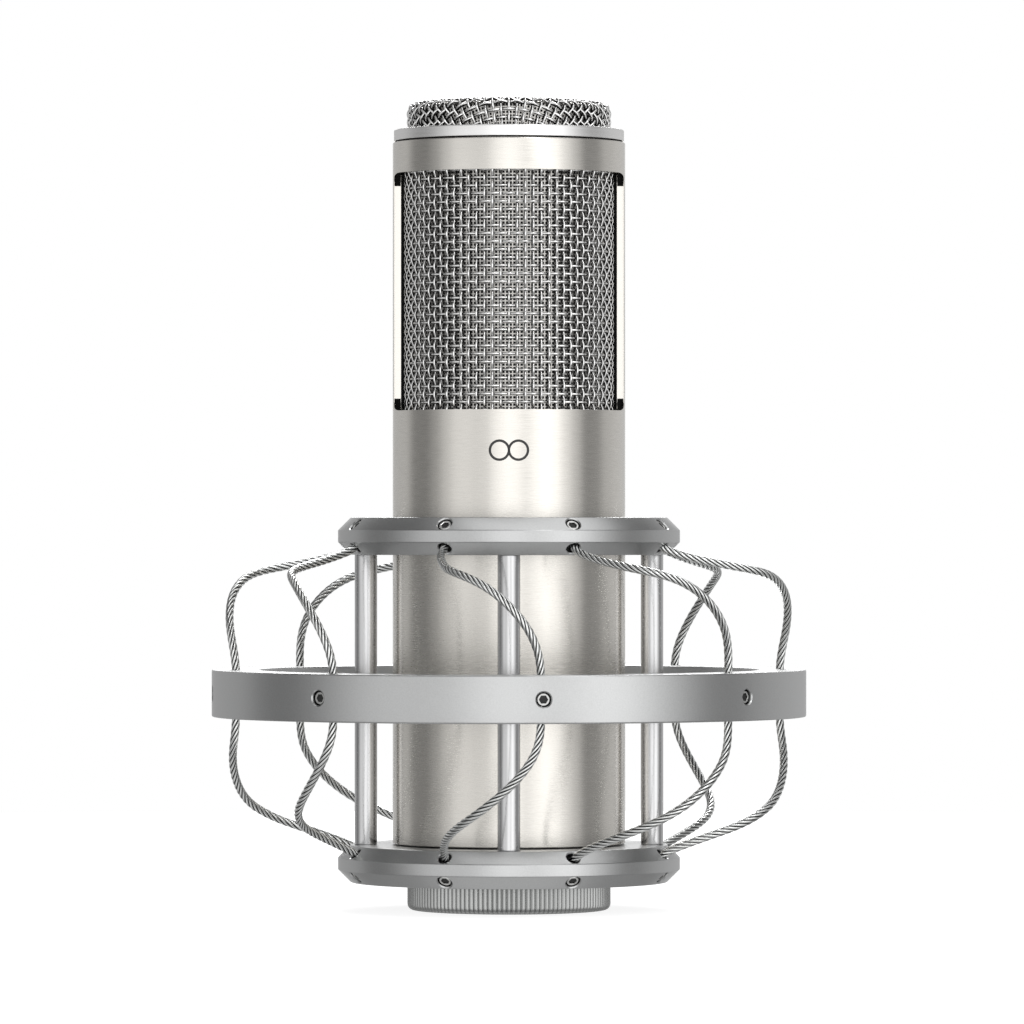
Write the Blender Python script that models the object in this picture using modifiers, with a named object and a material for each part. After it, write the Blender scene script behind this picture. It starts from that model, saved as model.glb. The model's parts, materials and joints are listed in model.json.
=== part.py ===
"""Ribbon microphone hung on wire ropes in a round shock mount.

Metres, +Z up, front towards -Y. The origin is on the microphone's axis, at the face of the
connector's insulator. Angles around the axis are counted from the front towards +X.
"""

import math

import bmesh
import bpy
from mathutils import Matrix, Vector

MM = 0.001

# Clearances
GAP = 0.3 * MM              # between pieces that touch
SLIDE_GAP = 0.3 * MM        # radial, microphone in the flanges and spigot in the nut

# Microphone
BODY_RADIUS = 28.5 * MM
BODY_WALL = 1.9 * MM
SEAT_Z = 1.5 * MM           # top of the lower flange, where the body stands
WINDOW_SILL = 106.2 * MM    # above the seat
WINDOW_HEIGHT = 58.0 * MM
TOP_BAND = 7.7 * MM         # body above the windows
WINDOW_CORNER = 3.0 * MM
PILLAR_HALF_WIDTH = 3.0 * MM
EDGE_BREAK = 0.4 * MM
GRILLE_CLEARANCE = 0.4 * MM
GRILLE_DEPTH = 1.2 * MM
LINER_DEPTH = 0.5 * MM
GRILLE_OVERLAP = 1.5 * MM   # hidden behind the window's edges
TOP_RING_INSET = 0.3 * MM   # from the body's outside
TOP_RING_HEIGHT = 2.7 * MM
TOP_RING_LIP = 4.3 * MM
TOP_GRILLE_INSET = 3.4 * MM
TOP_GRILLE_HEIGHT = 8.25 * MM
TOP_GRILLE_CORNER = 2.7 * MM
TOP_GRILLE_CROWN = 1.3 * MM
TOP_GRILLE_DEPTH = 0.9 * MM
TOP_LINER_DEPTH = 0.4 * MM

# Base, connector and inner chassis
SPIGOT_RADIUS = 19.8 * MM
SPIGOT_RECESS = 1.0 * MM    # spigot's end above the nut's underside
BASE_HEIGHT = 8.0 * MM
SOCKET_RADIUS = 8.2 * MM
INSULATOR_DEPTH = 5.0 * MM
WIRE_HOLE_RADIUS = 6.5 * MM
PIN_RADIUS = 1.2 * MM
PIN_CIRCLE_RADIUS = 4.0 * MM
PIN_LENGTH = 11.5 * MM
PIN_TAIL = 6.5 * MM
PIN_ANGLES = (0.0, 120.0, 240.0)
BULKHEAD_THICKNESS = 3.0 * MM
BULKHEAD_BELOW_SILL = 5.5 * MM
CAN_CLEARANCE = 10.6 * MM   # transformer can to the body's bore
CAN_HEIGHT = 50.0 * MM
RAIL_SIZE = (2.5 * MM, 9.0 * MM)
RAIL_FROM_CAN = 5.0 * MM
ISOLATOR_RADIUS = 3.5 * MM
ISOLATOR_HEIGHT = 4.0 * MM
ISOLATOR_X = 12.0 * MM
MOTOR_WIDTH = 34.0 * MM
MOTOR_DEPTH = 10.0 * MM
MOTOR_END_ROOM = 7.0 * MM   # window height left over by the motor
YOKE_WIDTH = 4.5 * MM
YOKE_HEIGHT = 3.0 * MM
MAGNET_WIDTH = 9.0 * MM
RIBBON_SIZE = (4.7 * MM, 0.2 * MM)
RIBBON_AIR_GAP = 0.45 * MM
CLAMP_SIZE = (8.0 * MM, 7.0 * MM, 2.2 * MM)

# Cage: two flanges and four posts
FLANGE_WIDTH = 13.1 * MM    # from bore to rim
FLANGE_THICKNESS = 9.1 * MM
FLANGE_BEVEL = 3.1 * MM
POST_LENGTH = 71.0 * MM     # between the flanges
POST_FROM_RIM = 6.84 * MM
POST_RADIUS = 2.75 * MM
POST_SOCKET_DEPTH = 1.0 * MM
POST_BORE_DEPTH = 7.0 * MM
POST_SCREW_RADIUS = 1.2 * MM
POST_SCREW_REACH = 4.0 * MM
POST_SCREW_HEAD = (2.6 * MM, 2.4 * MM)
POST_NAMES = ("front", "right", "back", "left")

# Locking nut and its washer
NUT_WALL = 4.8 * MM
NUT_HEIGHT = 6.6 * MM
NUT_ROUND = 1.7 * MM
WASHER_THICKNESS = 1.0 * MM
WASHER_WIDTH = 3.9 * MM

# Outer ring, wire ropes and their clamp screws
RING_FROM_FLANGE = 19.3 * MM  # free width around the cage
RING_WALL = 11.6 * MM
RING_HEIGHT = 11.5 * MM
RING_SAG = 1.65 * MM        # ring's rest place above the middle of the cage
RING_BREAK = 0.5 * MM
ROPE_COUNT = 8
ROPE_RADIUS = 0.9 * MM
ROPE_SLACK = 0.75 * MM      # around a rope in its hole
ROPE_FIRST_ANGLE = -22.5    # at the flanges
ROPE_TWIST = 29.0           # from flange hole to ring hole
ROPE_POINT_SPACING = 5.2 * MM
ROPE_EASE_STEP = 0.5 * MM   # how a rope's stiffness evens out its bends
ROPE_EASE_PASSES = 50
CLAMP_SCREW_RADIUS = 1.5 * MM
CLAMP_SCREW_RECESS = 0.9 * MM
RING_SCREW_HOLE_RADIUS = 1.8 * MM

# A rope's way from a flange (0, 0, 0) to the ring (1, 1, 1): part of the way out, of the way
# up or down, and of the twist. The upper half leaves the flange almost level.
UPPER_ROUTE = ((0.19, 0.06, 0.05), (0.39, 0.105, 0.145), (0.69, 0.16, 0.275), (0.88, 0.205, 0.42),
               (0.985, 0.29, 0.6), (1.045, 0.43, 0.76), (1.055, 0.63, 0.905), (1.02, 0.84, 0.985))
LOWER_ROUTE = ((0.335, 0.11, 0.145), (0.6, 0.19, 0.28), (0.78, 0.265, 0.41), (0.92, 0.37, 0.575),
               (1.0, 0.53, 0.77), (1.03, 0.715, 0.925), (1.01, 0.87, 0.99))

# Stand bracket and swivel behind the ring
BRACKET_ANGLE = 173.0
BRACKET_WIDTH = 17.0 * MM
BRACKET_FOOT = 6.0 * MM
TILT_PIN_FROM_RING = 17.2 * MM
EAR_WIDTH = 3.5 * MM
EAR_RADIUS = 6.5 * MM
TONGUE_CLEARANCE = 0.3 * MM
TILT_SCREW_RADIUS = 3.0 * MM
TILT_KNOB = (8.0 * MM, 8.0 * MM)
BARREL_WALL = 1.0 * MM
BARREL_LENGTH = 24.0 * MM
BARREL_FROM_EARS = 3.5 * MM
INSERT_BORE_RADIUS = 7.9 * MM
INSERT_WALL = 1.3 * MM
INSERT_LENGTH = 15.0 * MM

# Radii and widths that follow from the sizes above
BORE_RADIUS = BODY_RADIUS - BODY_WALL
TOP_RING_RADIUS = BODY_RADIUS - TOP_RING_INSET
TOP_GRILLE_RADIUS = BODY_RADIUS - TOP_GRILLE_INSET
CAN_RADIUS = BORE_RADIUS - CAN_CLEARANCE
RAIL_X = CAN_RADIUS + RAIL_FROM_CAN
FLANGE_RADIUS = BODY_RADIUS + SLIDE_GAP + FLANGE_WIDTH
POST_CIRCLE_RADIUS = FLANGE_RADIUS - POST_FROM_RIM
NUT_RADIUS = SPIGOT_RADIUS + SLIDE_GAP + NUT_WALL
WASHER_RADIUS = SPIGOT_RADIUS + SLIDE_GAP + WASHER_WIDTH
RING_RADIUS = FLANGE_RADIUS + RING_FROM_FLANGE + RING_WALL
ROPE_CIRCLE_RADIUS = RING_RADIUS - RING_WALL / 2
ROPE_HOLE_RADIUS = ROPE_RADIUS + ROPE_SLACK
TILT_PIN_RADIUS = RING_RADIUS + TILT_PIN_FROM_RING
BRACKET_HEIGHT = RING_HEIGHT - RING_BREAK
TONGUE_WIDTH = BRACKET_WIDTH - 2 * (EAR_WIDTH + TONGUE_CLEARANCE)
INSERT_RADIUS = INSERT_BORE_RADIUS + INSERT_WALL
BARREL_RADIUS = INSERT_RADIUS + GAP + BARREL_WALL
BARREL_BELOW_PIN = EAR_RADIUS + BARREL_FROM_EARS

# Heights that follow
SILL_Z = SEAT_Z + WINDOW_SILL
HEAD_Z = SILL_Z + WINDOW_HEIGHT
BODY_TOP_Z = HEAD_Z + TOP_BAND
MOTOR_HEIGHT = WINDOW_HEIGHT - MOTOR_END_ROOM
LOWER_FLANGE_Z = SEAT_Z - FLANGE_THICKNESS
UPPER_FLANGE_Z = SEAT_Z + POST_LENGTH
NUT_Z = LOWER_FLANGE_Z - GAP - NUT_HEIGHT
RING_Z = SEAT_Z + (POST_LENGTH - RING_HEIGHT) / 2 + RING_SAG
BULKHEAD_Z = SILL_Z - BULKHEAD_BELOW_SILL
MOTOR_Z = BULKHEAD_Z + BULKHEAD_THICKNESS + ISOLATOR_HEIGHT + 2 * GAP


def around(radius, angle, z=0.0):
    """Return the point at this radius, angle in degrees from the front, and height."""
    turn = math.radians(angle)
    return Vector((radius * math.sin(turn), -radius * math.cos(turn), z))


def make_material(name, colour, roughness, metallic):
    """Make a plain Principled material."""
    material = bpy.data.materials.new(name)
    material.use_nodes = True
    shader = material.node_tree.nodes["Principled BSDF"]
    shader.inputs["Base Color"].default_value = (*colour, 1.0)
    shader.inputs["Roughness"].default_value = roughness
    shader.inputs["Metallic"].default_value = metallic
    return material


def add_object(name, data, collection, material=None):
    """Link a mesh or curve as an object, smooth with sharp edges kept."""
    obj = bpy.data.objects.new(name, data)
    collection.objects.link(obj)
    if material:
        data.materials.append(material)
    if obj.type == "MESH":
        data.shade_smooth()
        data.set_sharp_from_angle(angle=math.radians(35))
    return obj


def turned(name, profile, segments, collection, material=None, closed=True, place=None):
    """Turn a profile of (radius, height) points about Z; it runs down its outer side."""
    mesh = bpy.data.meshes.new(name)
    edges = [(i, i + 1) for i in range(len(profile) - 1)]
    if closed:
        edges.append((len(profile) - 1, 0))
    mesh.from_pydata([(r, 0.0, z) for r, z in profile], edges, [])
    obj = add_object(name, mesh, collection, material)
    screw = obj.modifiers.new("Turn", "SCREW")
    screw.axis = "Z"
    screw.angle = math.tau
    screw.steps = segments
    screw.render_steps = segments
    screw.use_merge_vertices = True
    screw.merge_threshold = 0.00001
    screw.use_smooth_shade = True
    if place:
        obj.matrix_world = place
    return obj


def rod(name, radius, start, end, sides, collection, material=None):
    """Make a round bar from one point to another."""
    start, end = Vector(start), Vector(end)
    mesh = bpy.data.meshes.new(name)
    bm = bmesh.new()
    bmesh.ops.create_cone(bm, cap_ends=True, segments=sides, radius1=radius, radius2=radius,
                          depth=(end - start).length)
    bm.to_mesh(mesh)
    bm.free()
    obj = add_object(name, mesh, collection, material)
    turn = (end - start).to_track_quat("Z", "Y").to_matrix().to_4x4()
    obj.matrix_world = Matrix.Translation((start + end) / 2) @ turn
    return obj


def block(name, size, centre, collection, material=None, place=None):
    """Make a box with the given full sizes."""
    mesh = bpy.data.meshes.new(name)
    bm = bmesh.new()
    bmesh.ops.create_cube(bm, size=1.0, matrix=Matrix.Diagonal((*size, 1.0)))
    bm.to_mesh(mesh)
    bm.free()
    obj = add_object(name, mesh, collection, material)
    obj.matrix_world = (place or Matrix()) @ Matrix.Translation(centre)
    return obj


def carve(target, cutters, operation="DIFFERENCE"):
    """Cut hidden tools out of an object, or join them to it."""
    group = bpy.data.collections.new(target.name + "_" + operation.lower())
    CUTTERS.children.link(group)
    for cutter in cutters:
        cutter.hide_render = True
        cutter.display_type = "WIRE"
        CUTTERS.objects.unlink(cutter)
        group.objects.link(cutter)
    boolean = target.modifiers.new(operation.title(), "BOOLEAN")
    boolean.operation = operation
    boolean.operand_type = "COLLECTION"
    boolean.collection = group
    boolean.solver = "EXACT"
    return target


def arc(centre_r, centre_z, radius, first, last, steps):
    """Return points on a round corner of a profile, between two angles in degrees."""
    angles = [math.radians(first + (last - first) * i / steps) for i in range(steps + 1)]
    return [(centre_r + radius * math.cos(a), centre_z + radius * math.sin(a)) for a in angles]


# ---------------------------------------------------------------- microphone

def make_body():
    """The body tube, with a long window cut from its front and from its back."""
    bottom = SEAT_Z + GAP
    profile = [(BODY_RADIUS - EDGE_BREAK, BODY_TOP_Z), (BODY_RADIUS, BODY_TOP_Z - EDGE_BREAK),
               (BODY_RADIUS, bottom + EDGE_BREAK), (BODY_RADIUS - EDGE_BREAK, bottom),
               (BORE_RADIUS, bottom), (BORE_RADIUS, BODY_TOP_Z)]
    tube = turned("body_tube", profile, 40, PART, CHAMPAGNE)
    cutters = []
    for side, name in ((-1, "front"), (1, "back")):
        depth = 2 * BODY_RADIUS
        centre = (0, side * (PILLAR_HALF_WIDTH + depth / 2), SILL_Z + WINDOW_HEIGHT / 2)
        size = (3 * BODY_RADIUS, depth, WINDOW_HEIGHT)
        cutter = block("window_" + name, size, centre, CUTTERS)
        bm = bmesh.new()
        bm.from_mesh(cutter.data)
        long_edges = [e for e in bm.edges if abs(e.verts[0].co.x - e.verts[1].co.x) > BODY_RADIUS]
        bmesh.ops.bevel(bm, geom=long_edges, offset=WINDOW_CORNER, segments=3, profile=0.5,
                        affect="EDGES")
        bm.to_mesh(cutter.data)
        bm.free()
        cutters.append(cutter)
    carve(tube, cutters)


def make_side_grilles():
    """The coarse woven side grille as a plain tube, and the fine liner behind it."""
    outer = BORE_RADIUS - GRILLE_CLEARANCE
    inner = outer - GRILLE_DEPTH
    top, bottom = HEAD_Z + GRILLE_OVERLAP, SILL_Z - GRILLE_OVERLAP
    turned("side_grille", [(outer, top), (outer, bottom), (inner, bottom), (inner, top)],
           36, PART, MESH_METAL)
    outer = inner - GAP
    inner = outer - LINER_DEPTH
    turned("side_grille_liner", [(outer, top), (outer, bottom), (inner, bottom), (inner, top)],
           32, PART, DARK_METAL)


def make_top():
    """The top ring with its lip inside the body, and the two meshes that stand on its shelf."""
    base = BODY_TOP_Z + 1.3 * GAP
    top = base + TOP_RING_HEIGHT
    lip_radius = BORE_RADIUS - GRILLE_CLEARANCE
    seat_radius = TOP_GRILLE_RADIUS + GAP
    shelf_radius = TOP_GRILLE_RADIUS - TOP_GRILLE_DEPTH - TOP_LINER_DEPTH - 2 * GAP
    shelf = base + 0.7 * MM
    lip = BODY_TOP_Z - TOP_RING_LIP
    profile = [(TOP_RING_RADIUS - EDGE_BREAK, top), (TOP_RING_RADIUS, top - EDGE_BREAK),
               (TOP_RING_RADIUS, base), (lip_radius, base), (lip_radius, lip),
               (shelf_radius, lip), (shelf_radius, shelf), (seat_radius, shelf),
               (seat_radius, top)]
    turned("top_ring", profile, 36, PART, NICKEL)

    crown = top + TOP_GRILLE_HEIGHT
    meshes = (("top_grille", TOP_GRILLE_RADIUS, 0.0, TOP_GRILLE_DEPTH, MESH_METAL, 32),
              ("top_grille_liner", TOP_GRILLE_RADIUS - TOP_GRILLE_DEPTH - GAP,
               TOP_GRILLE_DEPTH + GAP, TOP_LINER_DEPTH, DARK_METAL, 24))
    for name, radius, drop, depth, material, segments in meshes:
        corner = TOP_GRILLE_CORNER - drop
        side_top = crown - TOP_GRILLE_CROWN - TOP_GRILLE_CORNER
        outside = [(0.0, crown - drop)]
        outside += arc(radius - corner, side_top, corner, 82, 0, 3)
        outside.append((radius, shelf + GAP))
        corner -= depth
        inside = [(radius - depth, shelf + GAP)]
        inside += arc(radius - depth - corner, side_top, corner, 0, 82, 2)
        inside.append((0.0, crown - drop - depth))
        turned(name, outside + inside, segments, PART, material, closed=False)


def make_base_and_connector():
    """The base cap with its spigot and socket, the insulator and the three pins."""
    top, seat = SEAT_Z + BASE_HEIGHT, SEAT_Z + GAP
    end = NUT_Z + SPIGOT_RECESS
    shoulder = BORE_RADIUS - GAP
    chamfer = 1.0 * MM
    ledge = INSULATOR_DEPTH + GAP
    profile = [(shoulder, top), (shoulder, seat), (SPIGOT_RADIUS, seat),
               (SPIGOT_RADIUS, end + chamfer), (SPIGOT_RADIUS - chamfer, end),
               (SOCKET_RADIUS, end), (SOCKET_RADIUS, ledge), (WIRE_HOLE_RADIUS, ledge),
               (WIRE_HOLE_RADIUS, top)]
    turned("base_cap", profile, 32, PART, SATIN_ALUMINIUM)
    insulator = rod("connector_insulator", SOCKET_RADIUS - GAP, (0, 0, 0),
                    (0, 0, INSULATOR_DEPTH), 24, PART, BLACK_PLASTIC)
    holes = []
    for number, angle in enumerate(PIN_ANGLES, start=1):
        low = around(PIN_CIRCLE_RADIUS, angle, -PIN_LENGTH)
        high = around(PIN_CIRCLE_RADIUS, angle, PIN_TAIL)
        rod(f"connector_pin_{number}", PIN_RADIUS, low, high, 12, PART, GOLD)
        holes.append(rod(f"pin_hole_{number}", PIN_RADIUS + GAP, low, high, 12, CUTTERS))
    carve(insulator, holes)


def make_chassis():
    """Inside the body: transformer can, rails and the bulkhead under the ribbon motor."""
    floor = SEAT_Z + BASE_HEIGHT + GAP
    rod("transformer_can", CAN_RADIUS, (0, 0, floor), (0, 0, floor + CAN_HEIGHT), 24, PART,
        DARK_METAL)
    rail_height = BULKHEAD_Z - GAP - floor
    for side, name in ((-1, "left"), (1, "right")):
        block("chassis_rail_" + name, (*RAIL_SIZE, rail_height),
              (side * RAIL_X, 0, floor + rail_height / 2), PART, SATIN_ALUMINIUM)
    top = BULKHEAD_Z + BULKHEAD_THICKNESS
    outer = BORE_RADIUS - GRILLE_CLEARANCE
    inner = WIRE_HOLE_RADIUS
    turned("bulkhead", [(outer, top), (outer, BULKHEAD_Z), (inner, BULKHEAD_Z), (inner, top)],
           32, PART, SATIN_ALUMINIUM)


def make_motor():
    """The ribbon motor: a frame on rubber feet, two magnets, and the ribbon in its clamps."""
    for side, name in ((-1, "left"), (1, "right")):
        foot = BULKHEAD_Z + BULKHEAD_THICKNESS + GAP
        rod("motor_isolator_" + name, ISOLATOR_RADIUS, (side * ISOLATOR_X, 0, foot),
            (side * ISOLATOR_X, 0, foot + ISOLATOR_HEIGHT), 12, PART, RUBBER)
    middle = MOTOR_Z + MOTOR_HEIGHT / 2
    size = (MOTOR_WIDTH, MOTOR_DEPTH, MOTOR_HEIGHT)
    frame = block("motor_frame", size, (0, 0, middle), PART, DARK_METAL)
    clear_height = MOTOR_HEIGHT - 2 * YOKE_HEIGHT
    opening = (MOTOR_WIDTH - 2 * YOKE_WIDTH, 2 * MOTOR_DEPTH, clear_height)
    carve(frame, [block("motor_opening", opening, (0, 0, middle), CUTTERS)])
    magnet_x = RIBBON_SIZE[0] / 2 + RIBBON_AIR_GAP + MAGNET_WIDTH / 2
    for side, name in ((-1, "left"), (1, "right")):
        height = clear_height - 2 * (CLAMP_SIZE[2] + 2 * GAP)
        block("magnet_" + name, (MAGNET_WIDTH, MOTOR_DEPTH - 2 * GAP, height),
              (side * magnet_x, 0, middle), PART, DARK_METAL)
    clamp_z = (clear_height - CLAMP_SIZE[2]) / 2 - GAP
    for side, name in ((1, "top"), (-1, "bottom")):
        block("ribbon_clamp_" + name, CLAMP_SIZE, (0, 0, middle + side * clamp_z), PART, BRASS)
    ribbon_height = 2 * clamp_z - CLAMP_SIZE[2] - 2 * GAP
    block("ribbon", (*RIBBON_SIZE, ribbon_height), (0, 0, middle), PART, NICKEL)


# ---------------------------------------------------------------------- cage

def rope_angles():
    """Return each rope's angle at the flanges."""
    return [ROPE_FIRST_ANGLE + 360.0 / ROPE_COUNT * i for i in range(ROPE_COUNT)]


def bevel_hole(name, radius, angle, middle, direction):
    """A cutter square to a flange's bevel, from outside to the middle of its thickness.

    direction is 1 for the upper bevel and -1 for the lower one.
    """
    meeting, reach = bevel_meeting_radius(), FLANGE_BEVEL + FLANGE_THICKNESS / 2
    start = around(meeting, angle, middle)
    end = around(meeting + reach, angle, middle + direction * reach)
    return rod(name, radius, start, end, 8, CUTTERS)


def bevel_meeting_radius():
    """Radius where a rope hole and a clamp screw's hole meet inside a flange."""
    return FLANGE_RADIUS - FLANGE_THICKNESS / 2


def make_flange(name, low_z, bore, facing, counterbore=None):
    """A bevelled flange; facing is 1 if its outer side is up, as the upper one's is."""
    top, face = low_z + FLANGE_THICKNESS, FLANGE_RADIUS - FLANGE_BEVEL
    profile = [(face, top), (FLANGE_RADIUS, top - FLANGE_BEVEL),
               (FLANGE_RADIUS, low_z + FLANGE_BEVEL), (face, low_z)]
    if counterbore:
        radius, depth = counterbore
        profile += [(radius, low_z), (radius, low_z + depth), (bore, low_z + depth)]
    else:
        profile.append((bore, low_z))
    profile.append((bore, top))
    flange = turned(name, profile, 40, PART, ANODISED)

    middle = low_z + FLANGE_THICKNESS / 2
    cutters = []
    for i, angle in enumerate(rope_angles(), start=1):
        screw_hole = CLAMP_SCREW_RADIUS + GAP
        cutters.append(bevel_hole(f"{name}_rope_hole_{i}", ROPE_HOLE_RADIUS, angle, middle, -facing))
        cutters.append(bevel_hole(f"{name}_clamp_hole_{i}", screw_hole, angle, middle, facing))
    outside, inside = middle + facing * FLANGE_THICKNESS / 2, middle - facing * FLANGE_THICKNESS / 2
    for i, post in enumerate(POST_NAMES):
        spots = [around(POST_CIRCLE_RADIUS, 90.0 * i, z) for z in (
            inside - facing * POST_SOCKET_DEPTH, inside + facing * POST_SOCKET_DEPTH,
            outside - facing * (POST_SCREW_HEAD[1] + 2 * GAP), outside + facing * GAP)]
        cutters.append(rod(f"{name}_{post}_socket", POST_RADIUS + GAP, spots[0], spots[1], 10,
                           CUTTERS))
        cutters.append(rod(f"{name}_{post}_way", POST_SCREW_RADIUS + GAP, spots[0], spots[3], 6,
                           CUTTERS))
        cutters.append(rod(f"{name}_{post}_sink", POST_SCREW_HEAD[0] + GAP, spots[2], spots[3],
                           10, CUTTERS))
    carve(flange, cutters)


def make_posts():
    """Four posts seated in the flanges, with a screw into each end."""
    seat = POST_SOCKET_DEPTH - GAP
    top, bottom = UPPER_FLANGE_Z + seat, SEAT_Z - seat
    bore = POST_SCREW_RADIUS + GAP
    profile = [(0.0, top - POST_BORE_DEPTH), (bore, top - POST_BORE_DEPTH), (bore, top),
               (POST_RADIUS, top), (POST_RADIUS, bottom), (bore, bottom),
               (bore, bottom + POST_BORE_DEPTH), (0.0, bottom + POST_BORE_DEPTH)]
    head_radius, head_height = POST_SCREW_HEAD
    length = FLANGE_THICKNESS - GAP + POST_SCREW_REACH
    screw_profile = [(0.0, 0.0), (head_radius, 0.0), (head_radius, -head_height),
                     (POST_SCREW_RADIUS, -head_height), (POST_SCREW_RADIUS, -length),
                     (0.0, -length)]
    for i, name in enumerate(POST_NAMES):
        spot = around(POST_CIRCLE_RADIUS, 90.0 * i)
        turned("post_" + name, profile, 10, PART, POLISHED, closed=False,
               place=Matrix.Translation(spot))
        over = Matrix.Translation(spot + Vector((0, 0, UPPER_FLANGE_Z + FLANGE_THICKNESS - GAP)))
        under = Matrix.Translation(spot + Vector((0, 0, LOWER_FLANGE_Z + GAP)))
        turned(f"post_screw_upper_{name}", screw_profile, 8, PART, STEEL, closed=False, place=over)
        turned(f"post_screw_lower_{name}", screw_profile, 8, PART, STEEL, closed=False,
               place=under @ Matrix.Rotation(math.pi, 4, "X"))


def make_nut():
    """The locking nut on the spigot and the washer in the lower flange's recess."""
    top, bore = NUT_Z + NUT_HEIGHT, SPIGOT_RADIUS + SLIDE_GAP
    profile = [(NUT_RADIUS, top)]
    profile += arc(NUT_RADIUS - NUT_ROUND, NUT_Z + NUT_ROUND, NUT_ROUND, 0, -90, 2)
    profile += [(bore, NUT_Z), (bore, top)]
    turned("locking_nut", profile, 36, PART, SATIN_ALUMINIUM)
    low = LOWER_FLANGE_Z
    high = low + WASHER_THICKNESS
    turned("thrust_washer", [(WASHER_RADIUS, high), (WASHER_RADIUS, low), (bore, low),
                             (bore, high)], 32, PART, BLACK_PLASTIC)


# ----------------------------------------------------- outer ring and ropes

def make_ring():
    """The outer ring, its rope holes, and a clamp screw beside each rope."""
    top, inner = RING_Z + RING_HEIGHT, RING_RADIUS - RING_WALL
    profile = [(RING_RADIUS - RING_BREAK, top), (RING_RADIUS, top - RING_BREAK),
               (RING_RADIUS, RING_Z + RING_BREAK), (RING_RADIUS - RING_BREAK, RING_Z),
               (inner + RING_BREAK, RING_Z), (inner, RING_Z + RING_BREAK),
               (inner, top - RING_BREAK), (inner + RING_BREAK, top)]
    ring = turned("outer_ring", profile, 40, PART, ANODISED)
    cutters = []
    middle = RING_Z + RING_HEIGHT / 2
    for i, flange_angle in enumerate(rope_angles(), start=1):
        angle = flange_angle + ROPE_TWIST
        cutters.append(rod(f"ring_rope_hole_{i}", ROPE_HOLE_RADIUS,
                           around(ROPE_CIRCLE_RADIUS, angle, RING_Z - GAP),
                           around(ROPE_CIRCLE_RADIUS, angle, top + GAP), 8, CUTTERS))
        cutters.append(rod(f"ring_clamp_hole_{i}", RING_SCREW_HOLE_RADIUS,
                           around(ROPE_CIRCLE_RADIUS, angle, middle),
                           around(RING_RADIUS + GAP, angle, middle), 8, CUTTERS))
        tip = ROPE_CIRCLE_RADIUS + ROPE_RADIUS + GAP
        rod(f"ring_clamp_screw_{i}", CLAMP_SCREW_RADIUS, around(tip, angle, middle),
            around(RING_RADIUS - CLAMP_SCREW_RECESS, angle, middle), 8, PART, STEEL)
    carve(ring, cutters)


def rope_half(route, angle, flange_middle, flange_side, ring_face):
    """Points of one half of a rope, from inside a flange to the ring's face.

    flange_side is -1 where the rope leaves the flange downwards and 1 where upwards.
    """
    meeting = bevel_meeting_radius()
    exit_step = FLANGE_THICKNESS / 2 - FLANGE_BEVEL / 2
    exit_radius, exit_z = meeting + exit_step, flange_middle + flange_side * exit_step
    out, rise = ROPE_CIRCLE_RADIUS - exit_radius, ring_face - exit_z
    start_step = ROPE_RADIUS
    points = [around(meeting + start_step, angle, flange_middle + flange_side * start_step),
              around(exit_radius, angle, exit_z)]
    for outward, along, twist in route:
        points.append(around(exit_radius + outward * out, angle + twist * ROPE_TWIST,
                             exit_z + along * rise))
    points.append(around(ROPE_CIRCLE_RADIUS, angle + ROPE_TWIST, ring_face))
    return points


def spaced(line, spacing):
    """Return evenly spaced points of a line given by close ones."""
    lengths = [0.0]
    for i in range(1, len(line)):
        lengths.append(lengths[-1] + (line[i] - line[i - 1]).length)
    count = max(2, round(lengths[-1] / spacing))
    result, place = [], 0
    for k in range(count + 1):
        want = lengths[-1] * k / count
        while place < len(line) - 2 and lengths[place + 1] < want:
            place += 1
        share = (want - lengths[place]) / (lengths[place + 1] - lengths[place])
        result.append(line[place].lerp(line[place + 1], share))
    return result


def smooth_route(points, spacing):
    """Read even points from a Catmull-Rom curve through the given ones, its bends eased."""
    ends = [2 * points[0] - points[1]] + points + [2 * points[-1] - points[-2]]
    fine = []
    for i in range(1, len(ends) - 2):
        a, b, c, d = ends[i - 1:i + 3]
        for step in range(24):
            t = step / 24
            fine.append(0.5 * (2 * b + (c - a) * t + (2 * a - 5 * b + 4 * c - d) * t ** 2
                               + (3 * b - a - 3 * c + d) * t ** 3))
    fine.append(points[-1])
    line = spaced(fine, ROPE_EASE_STEP)
    for _ in range(ROPE_EASE_PASSES):
        inner = [b + (a - 2 * b + c) / 4 for a, b, c in zip(line, line[1:], line[2:])]
        line = [line[0], *inner, line[-1]]
    return spaced(line, spacing)


def make_ropes():
    """Each rope runs from the upper flange through the ring to the lower flange."""
    upper_middle = UPPER_FLANGE_Z + FLANGE_THICKNESS / 2
    lower_middle = LOWER_FLANGE_Z + FLANGE_THICKNESS / 2
    for i, angle in enumerate(rope_angles(), start=1):
        route = rope_half(UPPER_ROUTE, angle, upper_middle, -1, RING_Z + RING_HEIGHT)
        route += rope_half(LOWER_ROUTE, angle, lower_middle, 1, RING_Z)[::-1]
        points = smooth_route(route, ROPE_POINT_SPACING)
        curve = bpy.data.curves.new(f"rope_{i}", "CURVE")
        curve.dimensions = "3D"
        curve.bevel_depth = ROPE_RADIUS
        curve.bevel_resolution = 2
        curve.use_fill_caps = True
        spline = curve.splines.new("POLY")
        spline.points.add(len(points) - 1)
        for point, co in zip(spline.points, points):
            point.co = (*co, 1.0)
        add_object(f"rope_{i}", curve, PART, STEEL)


# --------------------------------------------------------------- stand parts

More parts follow.
